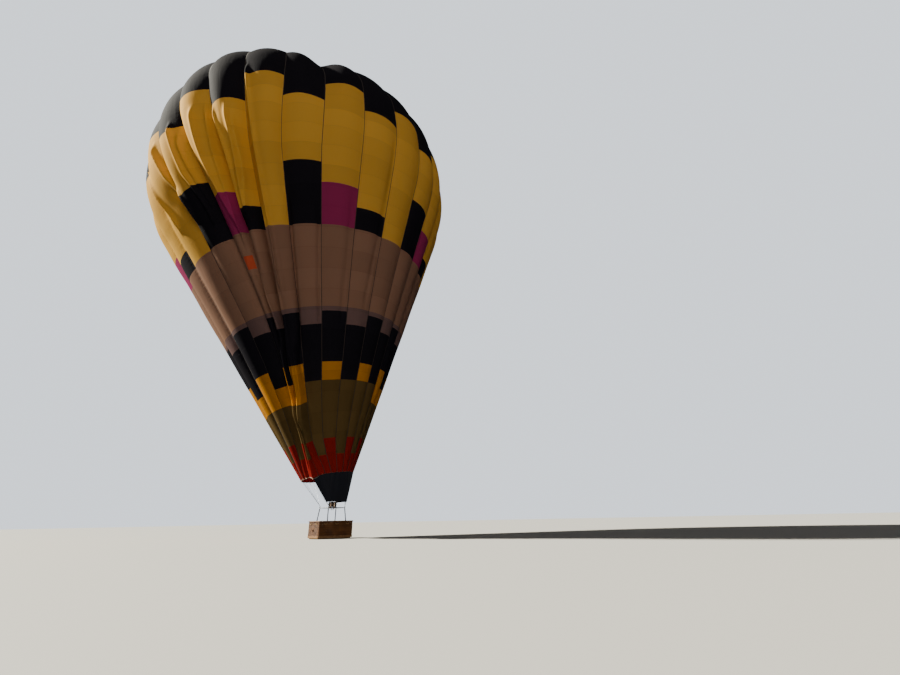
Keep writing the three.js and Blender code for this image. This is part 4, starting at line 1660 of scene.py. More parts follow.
@dataclass
class Rigging:
    """Four fans of wires, from the karabiners on the load frame to the seams at the mouth."""

    shape: EnvelopeShape
    trees: Trees
    ground: Points
    frame_x: float = FRAME_X
    frame_y: float = FRAME_Y
    hook_bottom: float = 1.936
    hook_top: float = 2.012
    hook_width: float = 0.046
    hook_corner: float = 0.016
    hook_bar: float = 0.006
    gate: tuple[float, float] = (1.95, 1.99)
    wire: float = 0.004
    ferrule: float = 0.0065
    ferrule_length: float = 0.05
    ferrule_from_hook: float = 0.05
    ferrule_from_hem: float = 0.11
    hem_arc: float = -0.058

    def corner(self, number: int) -> Points:
        """The ground point below a corner of the load frame."""
        sx, sy = CORNERS[number]
        return self.ground + np.array([sx * self.frame_x, sy * self.frame_y, 0.0])

    def hook_line(self) -> Points:
        """A karabiner's D, standing in the XZ plane round the origin's axis."""
        tall = self.hook_top - self.hook_bottom
        outline, _ = rounded_outline(self.hook_width, tall, self.hook_corner, 5)
        across = np.where(outline[:, 0] > 0, outline[:, 0], outline[:, 0] * 1.12)
        middle = (self.hook_top + self.hook_bottom) / 2
        return np.stack([across, 0 * across, outline[:, 1] + middle], 1)

    def build(self) -> list[Item]:
        """One piece for each corner."""
        made = []
        for number in range(len(CORNERS)):
            piece = Piece(f"wire_fan_{number + 1}")
            corner = self.corner(number)
            start = corner + np.array([0, 0, self.hook_top - self.hook_bar])
            lines, ferrules = [], []
            for seam in self.shape.seams_of_quadrant(number):
                end = self.shape.at(seam, self.hem_arc)
                along = (end - start) / np.linalg.norm(end - start)
                lines.append(np.array([start, end]))
                for low in (start + along * self.ferrule_from_hook, end - along * self.ferrule_from_hem):
                    ferrules.append(np.array([low, low + along * self.ferrule_length]))
            gate = corner + np.array([[self.hook_width / 2, 0, height] for height in self.gate])
            piece.grow(self.trees.bars, lines, DRAWN_WIRE, radius=self.wire, sides=6)
            piece.grow(self.trees.bars, ferrules, ALUMINIUM, radius=self.ferrule, sides=8)
            piece.grow(self.trees.bars, [self.hook_line() + corner], STAINLESS, closed=True,
                       radius=self.hook_bar, sides=10)
            piece.grow(self.trees.bars, [gate], ALUMINIUM, radius=self.hook_bar * 1.5, sides=14)
            made.append(piece.finish("airframe", "wire_steel", f"flying_wires_{number + 1}"))
        return made


@dataclass
class Scoop:
    """The cloth below the mouth that turns the wind into it, tied to the load frame's corners."""

    shape: EnvelopeShape
    rigging: Rigging
    trees: Trees
    first_angle: float = math.radians(211)
    last_angle: float = math.radians(421)
    start: float = 0.13
    offset: float = 0.039
    foot_height: float = 1.9847
    hem_arc: float = -0.06
    stand_off: float = 0.012
    rows: int = 36
    columns: int = 8
    billow: float = 0.07
    fold: float = 0.010
    overlap: float = 0.045
    edge_radius: float = 0.007
    tie_radius: float = 0.005

    def lines(self) -> tuple[Points, Points, Points]:
        """The seam coordinate, the foot and the corner of each line of the cloth."""
        gores = np.arange(2 * self.shape.gores) + 0.5
        angles = self.shape.seam_angle(gores)
        inside = (angles > self.first_angle) & (angles < self.last_angle)
        corners = np.floor(angles[inside] / (math.pi / 2)).astype(int) % 4
        feet = np.array([
            self.rigging.corner(number) + [sx * self.offset, sy * self.offset, self.foot_height]
            for number in corners for sx, sy in [CORNERS[number]]])
        return gores[inside], feet, corners

    def strip(self, gore: float, foot: Points, belly: float) -> Points:
        """One line of the cloth's points, from its foot up to its place over the hem.

        Args:
            gore: the seam coordinate at its top.
            foot: the point that it would reach at its foot.
            belly: how far its middle stands out.

        Returns:
            One row of x, y and z for each point.
        """
        rows = np.linspace(self.start, 1, self.rows)
        upper = self.shape.at(gore, self.hem_arc, self.stand_off)
        sag = belly * np.sin(math.pi * rows)
        flutter = self.fold * 0.5 * np.sin(gore * 9 + rows * 5) * np.sin(math.pi * rows) ** 0.5
        outward = self.shape.plain(1.0, self.shape.seam_angle(gore), self.shape.profile.lift_at)
        line = foot + (upper - foot) * rows[:, None] + outward * (sag + flutter)[:, None]
        hem = self.shape.at(gore, np.array([self.hem_arc + self.overlap]), self.stand_off + 0.002)
        return np.concatenate([line, hem])

    def build(self) -> Item:
        """The cloth as one sheet that bellies out between its lines."""
        gores, feet, corners = self.lines()
        strips = []
        for number in range(len(gores) - 1):
            last = number == len(gores) - 2
            deep = self.billow if corners[number] != corners[number + 1] else self.fold
            for step in np.linspace(0, 1, self.columns + 1)[: None if last else -1]:
                foot = feet[number] * (1 - step) + feet[number + 1] * step
                strips.append(self.strip(gores[number] + step, foot, math.sin(math.pi * step) * deep))
        points = np.stack(strips, axis=1)
        faces = grid_faces(points.shape[0], points.shape[1])
        made = mesh_object("scoop_cloth", points.reshape(-1, 3), faces)
        made.data.materials.append(SCOOP_CLOTH.material())
        dressed(made, "airframe", "scoop_fabric", "scoop")
        wide = float(lengths_along(points[-1])[-1])
        tall = max(float(lengths_along(points[:, side])[-1]) for side in (0, -1))
        self.build_edges(points, corners)
        return made

    def build_edges(self, points: Points, corners: Points) -> Item:
        """The tape round the free edges, and the ties from the lower corners to the karabiners.

        Args:
            points: the cloth's points, by row and column.
            corners: which corner of the load frame each of its lines runs to.

        Returns:
            The piece.
        """
        piece = Piece("scoop_edges")
        piece.grow(self.trees.bars, [points[0], points[:, 0], points[:, -1]], STRAP_CLOTH,
                   radius=self.edge_radius, sides=8)
        ties = []
        for number, corner in enumerate(corners):
            if number in (0, len(corners) - 1) or not corner == corners[number - 1] == corners[number + 1]:
                hook = self.rigging.corner(corner) + [0, 0, self.rigging.hook_top - self.rigging.hook_bar]
                ties.append(np.array([points[0, number * self.columns], hook]))
        piece.grow(self.trees.bars, ties, STRAP_CLOTH, radius=self.tie_radius, sides=8)
        return piece.finish("airframe", "scoop_fabric")


@dataclass
class LoadFrame:
    """The square of tube over the basket, with its sockets, lugs and the gimbal's outer pins."""

    ground: Points
    trees: Trees
    x: float = FRAME_X
    y: float = FRAME_Y
    z: float = FRAME_Z
    tube: float = 0.021
    socket: float = 0.03
    socket_below: float = 0.06
    socket_above: float = 0.03
    lug_size: float = 0.052
    lug_height: float = 0.044
    cheek: float = 0.011
    pin: float = 0.01
    boss: float = 0.018
    boss_end: float = 0.412
    pin_end: float = 0.372
    gusset: float = 0.085
    gusset_thick: float = 0.005

    def build(self) -> Item:
        """Tubes, sockets, gussets, lugs, bosses and welds as one piece."""
        piece = Piece("frame_of_tube", self.ground)
        corners = [np.array([sx * self.x, sy * self.y, self.z]) for sx, sy in CORNERS]
        tubes = [np.array(ends) for ends in zip(corners, corners[1:] + corners[:1])]
        piece.grow(self.trees.bars, tubes, STAINLESS, radius=self.tube, sides=24)
        for reach, radius in ((self.boss_end, self.boss), (self.pin_end, self.pin)):
            lines = [np.array([[side * self.x, 0, self.z], [side * reach, 0, self.z]]) for side in (-1, 1)]
            piece.grow(self.trees.bars, lines, STAINLESS, radius=radius, sides=24)
        low, high, neck = -self.socket_below, self.socket_above, self.socket - 0.002
        sleeve = [(0, low), (neck, low), (self.socket, low + 0.002), (self.socket, low + 0.012),
                  (neck, low + 0.015), (neck, high - 0.004), (neck - 0.004, high), (0, high)]
        weld = turned([(self.tube - 0.001, -0.004), (self.tube + 0.004, 0), (self.tube - 0.001, 0.004)], 24)
        lug = chamfered((self.lug_size, self.cheek, self.lug_height), 0.004)
        eye = high + self.lug_height * 0.62
        pins = []
        for (sx, sy), middle in zip(CORNERS, corners):
            piece.add(turned(sleeve, 36), STAINLESS, middle)
            for direction in (np.array([-sx, 0, 0.0]), np.array([0, -sy, 0.0])):
                piece.add(weld, HEATED_STEEL, middle + direction * (self.socket - 0.001), direction)
            self.add_gusset(piece, middle, sx, sy)
            for side in (-1, 1):
                at = [0, side * (self.lug_size - self.cheek) / 2, high + self.lug_height / 2]
                piece.add(lug, STAINLESS, middle + at)
            pins.append(middle + np.array([[0, side * self.lug_size / 2, eye] for side in (-1, 1)]))
        piece.grow(self.trees.bars, pins, DRAWN_WIRE, radius=0.007, sides=12)
        ring = turned([(self.boss - 0.001, 0), (self.boss + 0.004, 0.001), (self.boss - 0.001, 0.006)], 24)
        for side in (-1, 1):
            piece.add(ring, HEATED_STEEL, (side * (self.x - self.tube + 0.001), 0, self.z), (-side, 0, 0))
        outs = np.tile([[0, -1.0, 0], [0, 1.0, 0]], (len(pins), 1))
        piece.grow(self.trees.bolts, pins, DRAWN_WIRE, fields={"out": outs}, radius=0.009, height=0.006)
        return piece.finish("airframe", "frame_steel", "load_frame")

    def add_gusset(self, piece: Piece, middle: Points, sx: int, sy: int) -> None:
        """Adds the plate that stiffens a corner between its two tubes.

        Args:
            piece: the piece that gets it.
            middle: the corner's middle.
            sx: the side that the corner is on along X, as 1 or -1.
            sy: the same along Y.
        """
        near, leg = self.tube * 0.4, self.gusset + self.socket
        flat = np.array([[near, near], [leg, near], [leg, near * 2], [near * 2, leg], [near, leg]])
        half = np.array([0, 0, self.gusset_thick / 2])
        plate = np.column_stack([flat * [-sx, -sy], np.zeros(len(flat))])
        piece.add(capped_tube(np.stack([plate - half, plate + half])), STAINLESS, middle)


@dataclass
class Burner:
    """The gimbal ring, the block of valves that it carries, and the two burner cans."""

    ground: Points
    trees: Trees
    z: float = FRAME_Z
    ring_x: float = 0.405
    ring_y: float = 0.215
    ring_bar: float = 0.025
    ring_height: float = 0.04
    bore: float = 0.0106
    block: tuple[float, float, float] = (0.4, 0.12, 0.07)
    boss: float = 0.018
    boss_end: float = 0.183
    pin: float = 0.01
    pin_end: float = 0.223
    can_x: float = 0.14
    can_radius: float = 0.13
    can_height: float = 0.33
    can_base: float = 0.0504
    can_sides: int = 96
    can_wall: float = 0.0015
    can_rows: tuple[float, ...] = (0.0, 0.014, 0.03, 0.04, 0.056, 0.08, 0.14, 0.2, 0.26, 0.275, 0.29, 0.33)
    slotted_rows: tuple[int, ...] = (1, 3, 9)
    stub: float = 0.048
    handle_x: float = 0.06
    handle_radius: float = 0.013
    handle_end: float = 0.155
    union_x: tuple[float, ...] = (0.1, 0.17)
    knob_x: float = 0.17
    gauge_x: float = 0.075
    lever_x: float = 0.03
    coil_radius: float = 0.092
    coil_tube: float = 0.0085
    coil_pitch: float = 0.021
    coil_turns: int = 10
    jet_ring: float = 0.062

    def build_ring(self) -> Item:
        """The oblong ring, bored for its four pins."""
        path, outward = rounded_outline(
            2 * self.ring_x - self.ring_bar, 2 * self.ring_y - self.ring_bar, 0.03, 6)
        section = oval_section(self.ring_bar, self.ring_height, 9.0, 24)
        middle = self.ground + [0, 0, self.z]
        made = mesh_object("gimbal_of_bar", *placed(swept(path, outward, section, True), middle))
        reach = self.ring_x * 2
        for along in ((1, 0, 0), (0, 1, 0)):
            cutter = mesh_object("drill", *placed(rod(self.bore, -reach, reach), middle, along))
            cut = made.modifiers.new("bore", "BOOLEAN")
            cut.object, cut.operation, cut.solver = cutter, "DIFFERENCE", "EXACT"
            graph = bpy.context.evaluated_depsgraph_get()
            mesh = bpy.data.meshes.new_from_object(made.evaluated_get(graph))
            made.modifiers.clear()
            made.data = mesh
            bpy.data.objects.remove(cutter)
        made.data.materials.clear()
        made.data.materials.append(STAINLESS.material())
        made.data.set_sharp_from_angle(angle=SHARP)
        return dressed(made, "gimbal", "burner_steel", "gimbal_ring")

    def build_block(self) -> Item:
        """The block with its pins, valves, levers, gauges and unions."""
        piece = Piece("valve_block", self.ground + [0, 0, self.z])
        wide, deep, high = self.block
        piece.add(chamfered(self.block, 0.008, 3), ALUMINIUM)
        piece.add(chamfered((wide * 0.55, deep + 0.012, high * 0.55), 0.006), ALUMINIUM)
        for radius, end in ((self.boss, self.boss_end), (self.pin, self.pin_end)):
            piece.add(rod(radius, -end, end), STAINLESS, along=(0, 1, 0))
        top, foot = high / 2, -self.handle_end
        flange = [(0, 0), (self.stub + 0.014, 0), (self.stub + 0.014, 0.008), (self.stub, 0.010),
                  (self.stub, self.can_base - top), (0, self.can_base - top)]
        union = [(0, -0.054), (0.012, -0.054), (0.016, -0.05), (0.016, -0.032), (0.011, -0.03),
                 (0.011, -0.014), (0.014, -0.012), (0.014, 0), (0, 0)]
        knob = [(0, 0), (0.006, 0), (0.006, 0.012), (0.017, 0.014), (0.019, 0.02), (0.019, 0.03),
                (0.014, 0.034), (0, 0.034)]
        grip = [(0, foot), (0.011, foot), (0.0155, foot + 0.006), (0.0155, foot + 0.095),
                (self.handle_radius, foot + 0.1), (0, foot + 0.1)]
        lever = np.array([
            (0, 0, -0.01), (0, -0.03, -0.014), (0, -0.036, -0.05), (0, -0.026, -0.1), (0, -0.02, -0.13)])
        bolts, levers = [], []
        for side in (-1, 1):
            piece.add(turned(flange, 48), STAINLESS, (side * self.can_x, 0, top))
            for angle in np.arange(6) * math.pi / 3 + 0.3:
                x, y = (self.stub + 0.008) * np.array([math.cos(angle), math.sin(angle)])
                bolts.append([side * self.can_x + x, y, top + 0.008])
            for x in self.union_x:
                piece.add(turned(union, 24), BRASS, (side * x, 0, -top))
            piece.add(turned(knob, 32), RED_ENAMEL, (side * self.knob_x, -deep / 2, 0.008), (0, -1, 0))
            piece.add(turned(knob, 32), RUBBER, (side * self.knob_x, deep / 2, 0.008), (0, 1, 0))
            piece.add(rod(self.handle_radius, foot, 0.01 - top), STAINLESS, (side * self.handle_x, 0, 0))
            piece.add(turned(grip, 32), RUBBER, (side * self.handle_x, 0, 0))
            self.add_gauge(piece, np.array([side * self.gauge_x, -deep / 2 - 0.006, 0.0]))
            levers.append(lever + [side * self.lever_x, -deep / 2, 0])
        piece.grow(self.trees.bars, levers, RED_ENAMEL, radius=0.005, sides=10)
        outs = np.tile([0, 0, 1.0], (len(bolts), 1))
        piece.grow(self.trees.bolts, [np.array(bolts)], DRAWN_WIRE, fields={"out": outs},
                   radius=0.004, height=0.004)
        return piece.finish("burner", "burner_aluminium", "burner_block")

    def add_gauge(self, piece: Piece, at: Points) -> None:
        """Adds a round dial with plain marks, facing the front.

        Args:
            piece: the piece that gets it.
            at: the middle of its back.
        """
        body = [(0, 0), (0.026, 0), (0.027, 0.002), (0.027, 0.016), (0.024, 0.018)]
        piece.add(turned(body, 40), BRASS, at, (0, -1, 0))
        piece.add(rod(0.0238, 0.0145, 0.0155, 40), WHITE_ENAMEL, at, (0, -1, 0))
        face = at + [0, -0.0158, 0]
        tick, hand = (chamfered((0.0012, 0.0008, length), 0.0002, 1) for length in (0.005, 0.02))
        for angle in np.radians(np.arange(-130, 131, 26)):
            along = np.array([math.sin(angle), 0, math.cos(angle)])
            piece.add(tick, RUBBER, face + 0.0185 * along, along)
        along = np.array([math.sin(-0.6), 0, math.cos(-0.6)])
        piece.add(hand, RED_ENAMEL, face + 0.006 * along + [0, -0.0006, 0], along)

    def has_slot(self, row: int, column: int) -> bool:
        """Whether a part of a can's wall is an air slot."""
        return row in self.slotted_rows and column % 3 != 0

    def build_cans(self) -> list[Item]:
        """Each can: a slotted wall, a rolled rim, a base, a coil and its ring of jets."""
        made = []
        wall = pierced_wall(self.can_radius, self.can_wall, self.can_rows, self.can_sides, self.has_slot)
        roll = circle(0.0045, 12)[:, :2] + [self.can_radius - 0.004, self.can_height - 0.0045]
        base = [(0, 0), (self.can_radius, 0), (self.can_radius, 0.003), (0.055, 0.003), (0.045, 0.008),
                (0, 0.008)]
        jets = [(0, 0.008), (0.012, 0.008), (0.012, 0.03), (0.009, 0.034), (0, 0.034)]
        coil = helix(self.coil_radius, 0.05, self.coil_pitch, self.coil_turns)
        feet = np.array([[self.coil_radius, 0, 0.006], [self.coil_radius, 0, 0.05]])
        for number, side in ((1, -1), (2, 1)):
            at = self.ground + [side * self.can_x, 0, self.z + self.can_base]
            piece = Piece(f"open_can_{number}", at)
            piece.add(wall, HEATED_STEEL)
            piece.add(turned([*roll.tolist(), roll[0].tolist()], self.can_sides), HEATED_STEEL)
            piece.add(turned(base, 64), STAINLESS)
            piece.add(turned(jets, 20), BRASS)
            piece.grow(self.trees.bars, [coil, feet], HEATED_STEEL, radius=self.coil_tube, sides=8)
            piece.grow(self.trees.bars, [circle(self.jet_ring, 36) + [0, 0, 0.03]], BRASS, closed=True,
                       radius=0.008, sides=10)
            piece.grow(self.trees.bolts, [circle(self.jet_ring, 18) + [0, 0, 0.037]], BRASS,
                       fields={"out": np.tile([0, 0, 1.0], (18, 1))}, radius=0.004, height=0.010)
            made.append(piece.finish("burner", "burner_steel", f"burner_can_{number}"))
        return made


@dataclass
class Uprights:
    """Four posts in padded covers, from the rim to the load frame."""

    ground: Points
    trees: Trees
    foot_x: float = 0.670
    foot_y: float = 0.695
    head_x: float = FRAME_X
    head_y: float = FRAME_Y
    bottom: float = 1.0804
    top: float = 1.8196
    radius: float = 0.032
    rows: int = 60
    columns: int = 24
    straps: tuple[float, ...] = (0.14, 0.5, 0.86)
    strap_width: float = 0.032
    waist: float = 0.12
    pinch_reach: float = 0.035
    end_waist: float = 0.22
    end_reach: float = 0.012
    crumple: float = 0.0012

    def along(self, number: int, share: Any) -> Points:
        """The middle of a post.

        Args:
            number: the corner that it stands at.
            share: how far up it, from 0 to 1.

        Returns:
            One row of x, y and z for each share.
        """
        sx, sy = CORNERS[number]
        share = np.asarray(share, float)
        x = sx * (self.foot_x + (self.head_x - self.foot_x) * share)
        y = sy * (self.foot_y + (self.head_y - self.foot_y) * share)
        z = self.bottom + (self.top - self.bottom) * share
        return np.stack([x, y, z], axis=-1) + self.ground

    def width(self, share: Any) -> Points:
        """The cover's radius, drawn in where a strap holds it and at its ends.

        Args:
            share: how far up the post, from 0 to 1.

        Returns:
            The radius at each share.
        """
        pinch = sum(np.exp(-(((share - at) / self.pinch_reach) ** 2)) for at in self.straps)
        ends = sum(np.exp(-((off / self.end_reach) ** 2)) for off in (share, 1 - share))
        return self.radius * (1 - self.waist * np.minimum(pinch, 1) - self.end_waist * ends)

    def build(self) -> list[Item]:
        """One padded cover for each post, with its straps and its seam."""
        made = []
        shares, widths = np.linspace(0, 1, self.rows), self.width(np.linspace(0, 1, self.rows))
        cuff = [(0, 0), (self.radius + 0.001, 0.0), (self.radius + 0.003, 0.002),
                (self.radius + 0.002, 0.05), (self.radius - 0.002, 0.052), (0, 0.052)]
        buckle = chamfered((0.012, 0.03, self.strap_width + 0.006), 0.002)
        for number, (sx, sy) in enumerate(CORNERS):
            piece = Piece(f"post_cover_{number + 1}")
            middles = self.along(number, shares)
            turns = angles_round(self.columns) * 3 + number
            crumples = self.crumple * np.sin(shares[:, None] * 60 + np.sin(turns) * 2)
            reach = (widths[:, None] - np.abs(crumples))[:, :, None]
            piece.add(capped_tube(middles[:, None, :] + circle(1.0, self.columns) * reach), COVER_CLOTH)
            for at in self.straps:
                centre = self.along(number, at)
                radius = float(self.width(np.array(at))) + 0.0015
                section = oval_section(0.003, self.strap_width, 6, 12)
                piece.add(swept(circle(radius, 32), circle(1.0, 32), section, True), STRAP_CLOTH, centre)
                piece.add(buckle, RUBBER, centre + [sx * (radius + 0.001), 0, 0])
            seam = middles + np.stack([0 * widths, -sy * (widths + 0.0005), 0 * widths], 1)
            piece.grow(self.trees.stitches, [seam], THREAD, pitch=0.012, length=0.008, thick=0.002)
            piece.add(turned(cuff, 32), CUFF_HIDE, self.along(number, 0.0))
            made.append(piece.finish("airframe", "upright_cover", f"upright_{number + 1}"))
        return made


@dataclass
class Basket:
    """The woven basket: walls, partition, padded rim, rawhide skirt, handles, floor and runners."""

    ground: Points
    trees: Trees
    length: float = 2.49
    width: float = 1.51
    corner: float = 0.12
    wall: float = 0.042
    rim_top: float = 1.08
    rim_height: float = 0.062
    rim_width: float = 0.096
    hide_seams: int = 24
    seam_dip: float = 0.05
    weave_bottom: float = 0.093
    row_height: float = 0.0195
    rows: int = 48
    stake_pitch: float = 0.06
    points_a_stake: int = 4
    sway: float = 0.0088
    rod: float = 0.011
    stake: float = 0.007
    hole_height: float = 0.5
    hole_wide: float = 0.105
    hole_tall: float = 0.065
    partition_x: float = -0.25
    partition_top: float = 1.0
    skirt_bottom: float = 0.083
    skirt_top: float = 0.205
    runner_spacing: float = 0.6
    runner_length: float = 2.3
    runner_size: float = 0.06
    handle_radius: float = 0.011
    handle_drop: float = 0.085
    handle_half: float = 0.12
    handle_height: float = 0.955
    side_handles: tuple[float, ...] = (-0.8, 0.0, 0.8)
    end_handles: tuple[float, ...] = (-0.38, 0.38)
    hole_spacing: float = 0.71

    def wall_paths(self) -> dict[str, tuple[Points, Points, tuple[float, ...]]]:
        """Each wall's middle line, the direction out of it, and where its foot holes are along it."""
        inset = self.wall
        points, outward = rounded_outline(
            self.length - inset, self.width - inset, self.corner - inset / 2, 10)
        half = len(points) // 2
        half_x, half_y = (self.length - inset) / 2, self.width / 2 - self.corner
        left = np.array([[-half_x, half_y, 0], [-half_x, -half_y, 0]])
        pair = (half_y - self.hole_spacing / 2, half_y + self.hole_spacing / 2)
        return {
            "back": (points[:half], outward[:half], ()),
            "front": (points[half:], outward[half:], ()),
            "left": (left, np.array([[-1.0, 0, 0]] * 2), (half_y,)),
            "right": (-left, np.array([[1.0, 0, 0]] * 2), pair),
        }

    def woven(self, name: str, points: Points, outward: Points, holes: tuple[float, ...],
              rows: int) -> list[Item]:
        """The rods and the stakes of one woven panel.

        Args:
            name: the panel's name.
            points: its middle line.
            outward: the direction out of it at each point.
            holes: how far along it the middles of its foot holes are.
            rows: how many rods lie one over the other.

        Returns:
            The object of rods and the object of stakes.
        """
        stakes = max(2, round(lengths_along(points)[-1] / self.stake_pitch))
        path, out, along = evenly(points, outward, self.points_a_stake * stakes + 1)
        path = path + self.ground + [0, 0, self.weave_bottom]
        source = line_object(name, [path], along=along, out=out)
        hole_height = self.hole_height - self.weave_bottom
        first, second = (*holes, *holes, -9.0, -9.0)[:2]
        rods = self.trees.weave.grow(
            source, WILLOW, rows=rows, row_height=self.row_height, stake_pitch=along[-1] / stakes,
            sway=self.sway, radius=self.rod, sides=6, hole_along=float(first),
            second_hole_along=float(second), hole_height=hole_height, hole_wide=self.hole_wide,
            hole_tall=self.hole_tall)
        lines = []
        for foot, place in zip(path[:: self.points_a_stake], along[:: self.points_a_stake]):
            breaks = [0.0, rows * self.row_height]
            for hole in holes:
                share = abs(place - hole) / self.hole_wide
                if share < 1:
                    reach = self.hole_tall * math.sqrt(1 - share * share)
                    breaks[1:1] = [hole_height - reach, hole_height + reach]
            for start, end in zip(breaks[::2], breaks[1::2]):
                lines.append(foot + np.array([[0, 0, start], [0, 0, end]]))
        source = line_object(name + "_stakes", lines)
        return [rods, self.trees.bars.grow(source, WILLOW, radius=self.stake, sides=6)]

    def build_walls(self) -> list[Item]:
        """Four woven walls, with a braided edge round each foot hole."""
        made = []
        oval = circle(1.0, 40)[:, [2, 0, 1]] * [0, self.hole_wide + 0.006, self.hole_tall + 0.006]
        for side, (points, outward, holes) in self.wall_paths().items():
            parts = self.woven(f"willow_{side}", points, outward, holes, self.rows)
            for hole in holes:
                start, end = points[0], points[-1]
                x, y, _ = start + (end - start) * hole / np.linalg.norm(end - start)
                for face in (-1, 1):
                    ring = oval + [x + face * self.wall * 0.42, y, self.hole_height] + self.ground
                    source = line_object("braid", [ring], closed=True)
                    parts.append(self.trees.ropes.grow(source, WILLOW, radius=0.010, lay=0.05, step=0.008))
            whole = joined(f"willow_{side}", parts)
            made.append(dressed(whole, "airframe", "wicker", f"wall_{side}"))
        return made

    def build_partition(self) -> Item:
        """The woven cross wall and middle wall, each with a leather cap."""
        inner_x = self.length / 2 - self.wall - 0.012
        inner_y = self.width / 2 - self.wall - 0.012
        rows = round((self.partition_top - self.weave_bottom) / self.row_height) - 1
        paths = (
            (np.array([[self.partition_x, -inner_y, 0], [self.partition_x, inner_y, 0]]), (1.0, 0, 0)),
            (np.array([[self.partition_x + 0.03, 0, 0], [inner_x, 0, 0]]), (0, 1.0, 0)),
        )
        section = oval_section(0.046, 0.03, 3.5, 14)
        steps = np.linspace(0, 1, 24)[:, None]
        parts = []
        cap = Piece("partition_cap", self.ground)
        for number, (points, out) in enumerate(paths):
            parts += self.woven(f"partition_{number}", points, np.array([out, out]), (), rows)
            line = points[0] + (points[1] - points[0]) * steps + [0, 0, self.partition_top - 0.016]
            cap.add(swept(line, np.tile(out, (len(line), 1)), section, False), RIM_HIDE)
        parts.append(cap.finish("airframe", "rim_leather"))
        return dressed(joined("willow_partition", parts), "airframe", "wicker", "partition")

    def build_rim(self) -> Item:
        """The padded rim in stitched hide, drawn in a little at each seam."""
        middle = -self.wall / 2
        points, outward = rounded_outline(
            self.length + 2 * middle, self.width + 2 * middle, self.corner + middle, 12)
        path, out = evenly_round(points, outward, 360)
        section = np.array(oval_section(self.rim_width, self.rim_height, 3.0, 28))
        along = np.arange(len(path)) / len(path)
        seams = np.exp(-((np.abs((along * self.hide_seams) % 1 - 0.5) - 0.5) / 0.05) ** 2)
        soft = 1 - self.seam_dip * seams + 0.008 * np.sin(along * TURN * 67) - 0.012
        height = self.rim_top - self.rim_height / 2
        rings = path[:, None, :] + out[:, None, :] * (section[None, :, :1] * soft[:, None, None])
        rings[:, :, 2] += section[None, :, 1] * soft[:, None] + height
        faces = grid_faces(*rings.shape[:2], around=True, looped=True).tolist()
        piece = Piece("padded_rim", self.ground)
        piece.add((rings.reshape(-1, 3), faces), RIM_HIDE)
        for reach in (0.46, -0.46):
            line = path + out * self.rim_width * reach + [0, 0, height - 0.2 * self.rim_height]
            piece.grow(self.trees.stitches, [line], THREAD, closed=True, pitch=0.016, length=0.011,
                       thick=0.003)
        lace = path + out * (self.rim_width * 0.40) + [0, 0, height - self.rim_height * 0.44]
        piece.grow(self.trees.ropes, [lace], RAWHIDE, closed=True, radius=0.005, lay=0.05, step=0.012,
                   sides=5)
        made = piece.finish("airframe", "rim_leather", "rim")
        return made

    def build_skirt(self) -> Item:
        """The rawhide strip laced round the foot of the walls."""
        points, outward = rounded_outline(self.length, self.width, self.corner, 12)
        path, out = evenly_round(points, outward, 240)
        wave = 0.0015 * np.sin(np.arange(len(path)) / len(path) * TURN * 23)
        low, high = self.skirt_bottom, self.skirt_top
        section = [(0.0, low), (0.003, low), (0.004, high - 0.002), (0.001, high)]
        piece = Piece("rawhide_skirt", self.ground)
        piece.add(swept(path + out * (0.001 + wave)[:, None], out, section, True), RAWHIDE)
        for height in (high - 0.012, low + 0.014):
            line = path + out * 0.006 + [0, 0, height]
            piece.grow(self.trees.stitches, [line], CUFF_HIDE, closed=True, pitch=0.032, length=0.022,
                       thick=0.005)
        return piece.finish("airframe", "rim_leather")

    def build_handles(self) -> Item:
        """Rope handles below the rim, with hide pads where they leave the wall."""
        piece = Piece("rope_handles", self.ground)
        half_x, half_y = self.length / 2, self.width / 2
        places = [(x, side * half_y, (1, 0), (0, side)) for side in (-1, 1) for x in self.side_handles]
        places += [(side * half_x, y, (0, 1), (side, 0)) for side in (-1, 1) for y in self.end_handles]
        steps = np.linspace(-1, 1, 25)
        drop = -self.handle_drop * (1 - np.abs(steps) ** 2.6)
        proud = 0.022 * (1 - steps**8) - 0.008
        lines = []
        for x, y, along, out in places:
            along, out = np.array([*along, 0.0]), np.array([*out, 0.0])
            middle = np.array([x, y, self.handle_height])
            flat = np.outer(steps * self.handle_half, along) + np.outer(proud, out)
            lines.append(middle + flat + np.outer(drop, [0, 0, 1.0]))
            pad = np.array([along * a + [0, 0, b] for a, b in oval_section(0.055, 0.07, 3, 20)])
            for side in (-1, 1):
                ring = pad + middle + along * side * self.handle_half
                piece.add(capped_tube(np.stack([ring - out * 0.001, ring + out * 0.006])), CUFF_HIDE)
        piece.grow(self.trees.ropes, lines, MANILA, radius=self.handle_radius, lay=0.06, step=0.01)
        return piece.finish("airframe", "rim_leather")

    def build_runners(self) -> Item:
        """Three worn skids with their battens, bolted through the floor."""
        size, spacing = self.runner_size, self.runner_spacing
        piece = Piece("ash_skids", self.ground)
        for side in (-1, 0, 1):
            skid = chamfered((self.runner_length, size, size), 0.007)
            piece.add(skid, HARDWOOD, (0, side * spacing, size / 2))
        for side in (-1, 0, 1):
            batten = chamfered((size, 2 * spacing, size / 2), 0.004)
            piece.add(batten, HARDWOOD, (side * (self.runner_length - 3 * size) / 2, 0, size * 0.75))
        bolts = np.array([
            [x, side * (spacing + size / 2), size * 0.55]
            for side in (-1, 1) for x in np.linspace(-1.0, 1.0, 7)])
        piece.grow(self.trees.bolts, [bolts], DRAWN_WIRE, fields={"out": np.sign(bolts) * [0, 1, 0]},
                   radius=0.008, height=0.005)
        return piece.finish("airframe", "hardwood", "runners")

    def dress_floor(self, board: Item) -> None:
        """Gives the floor board its plywood."""
        board.data.materials.clear()
        board.data.materials.append(PLYWOOD.material())


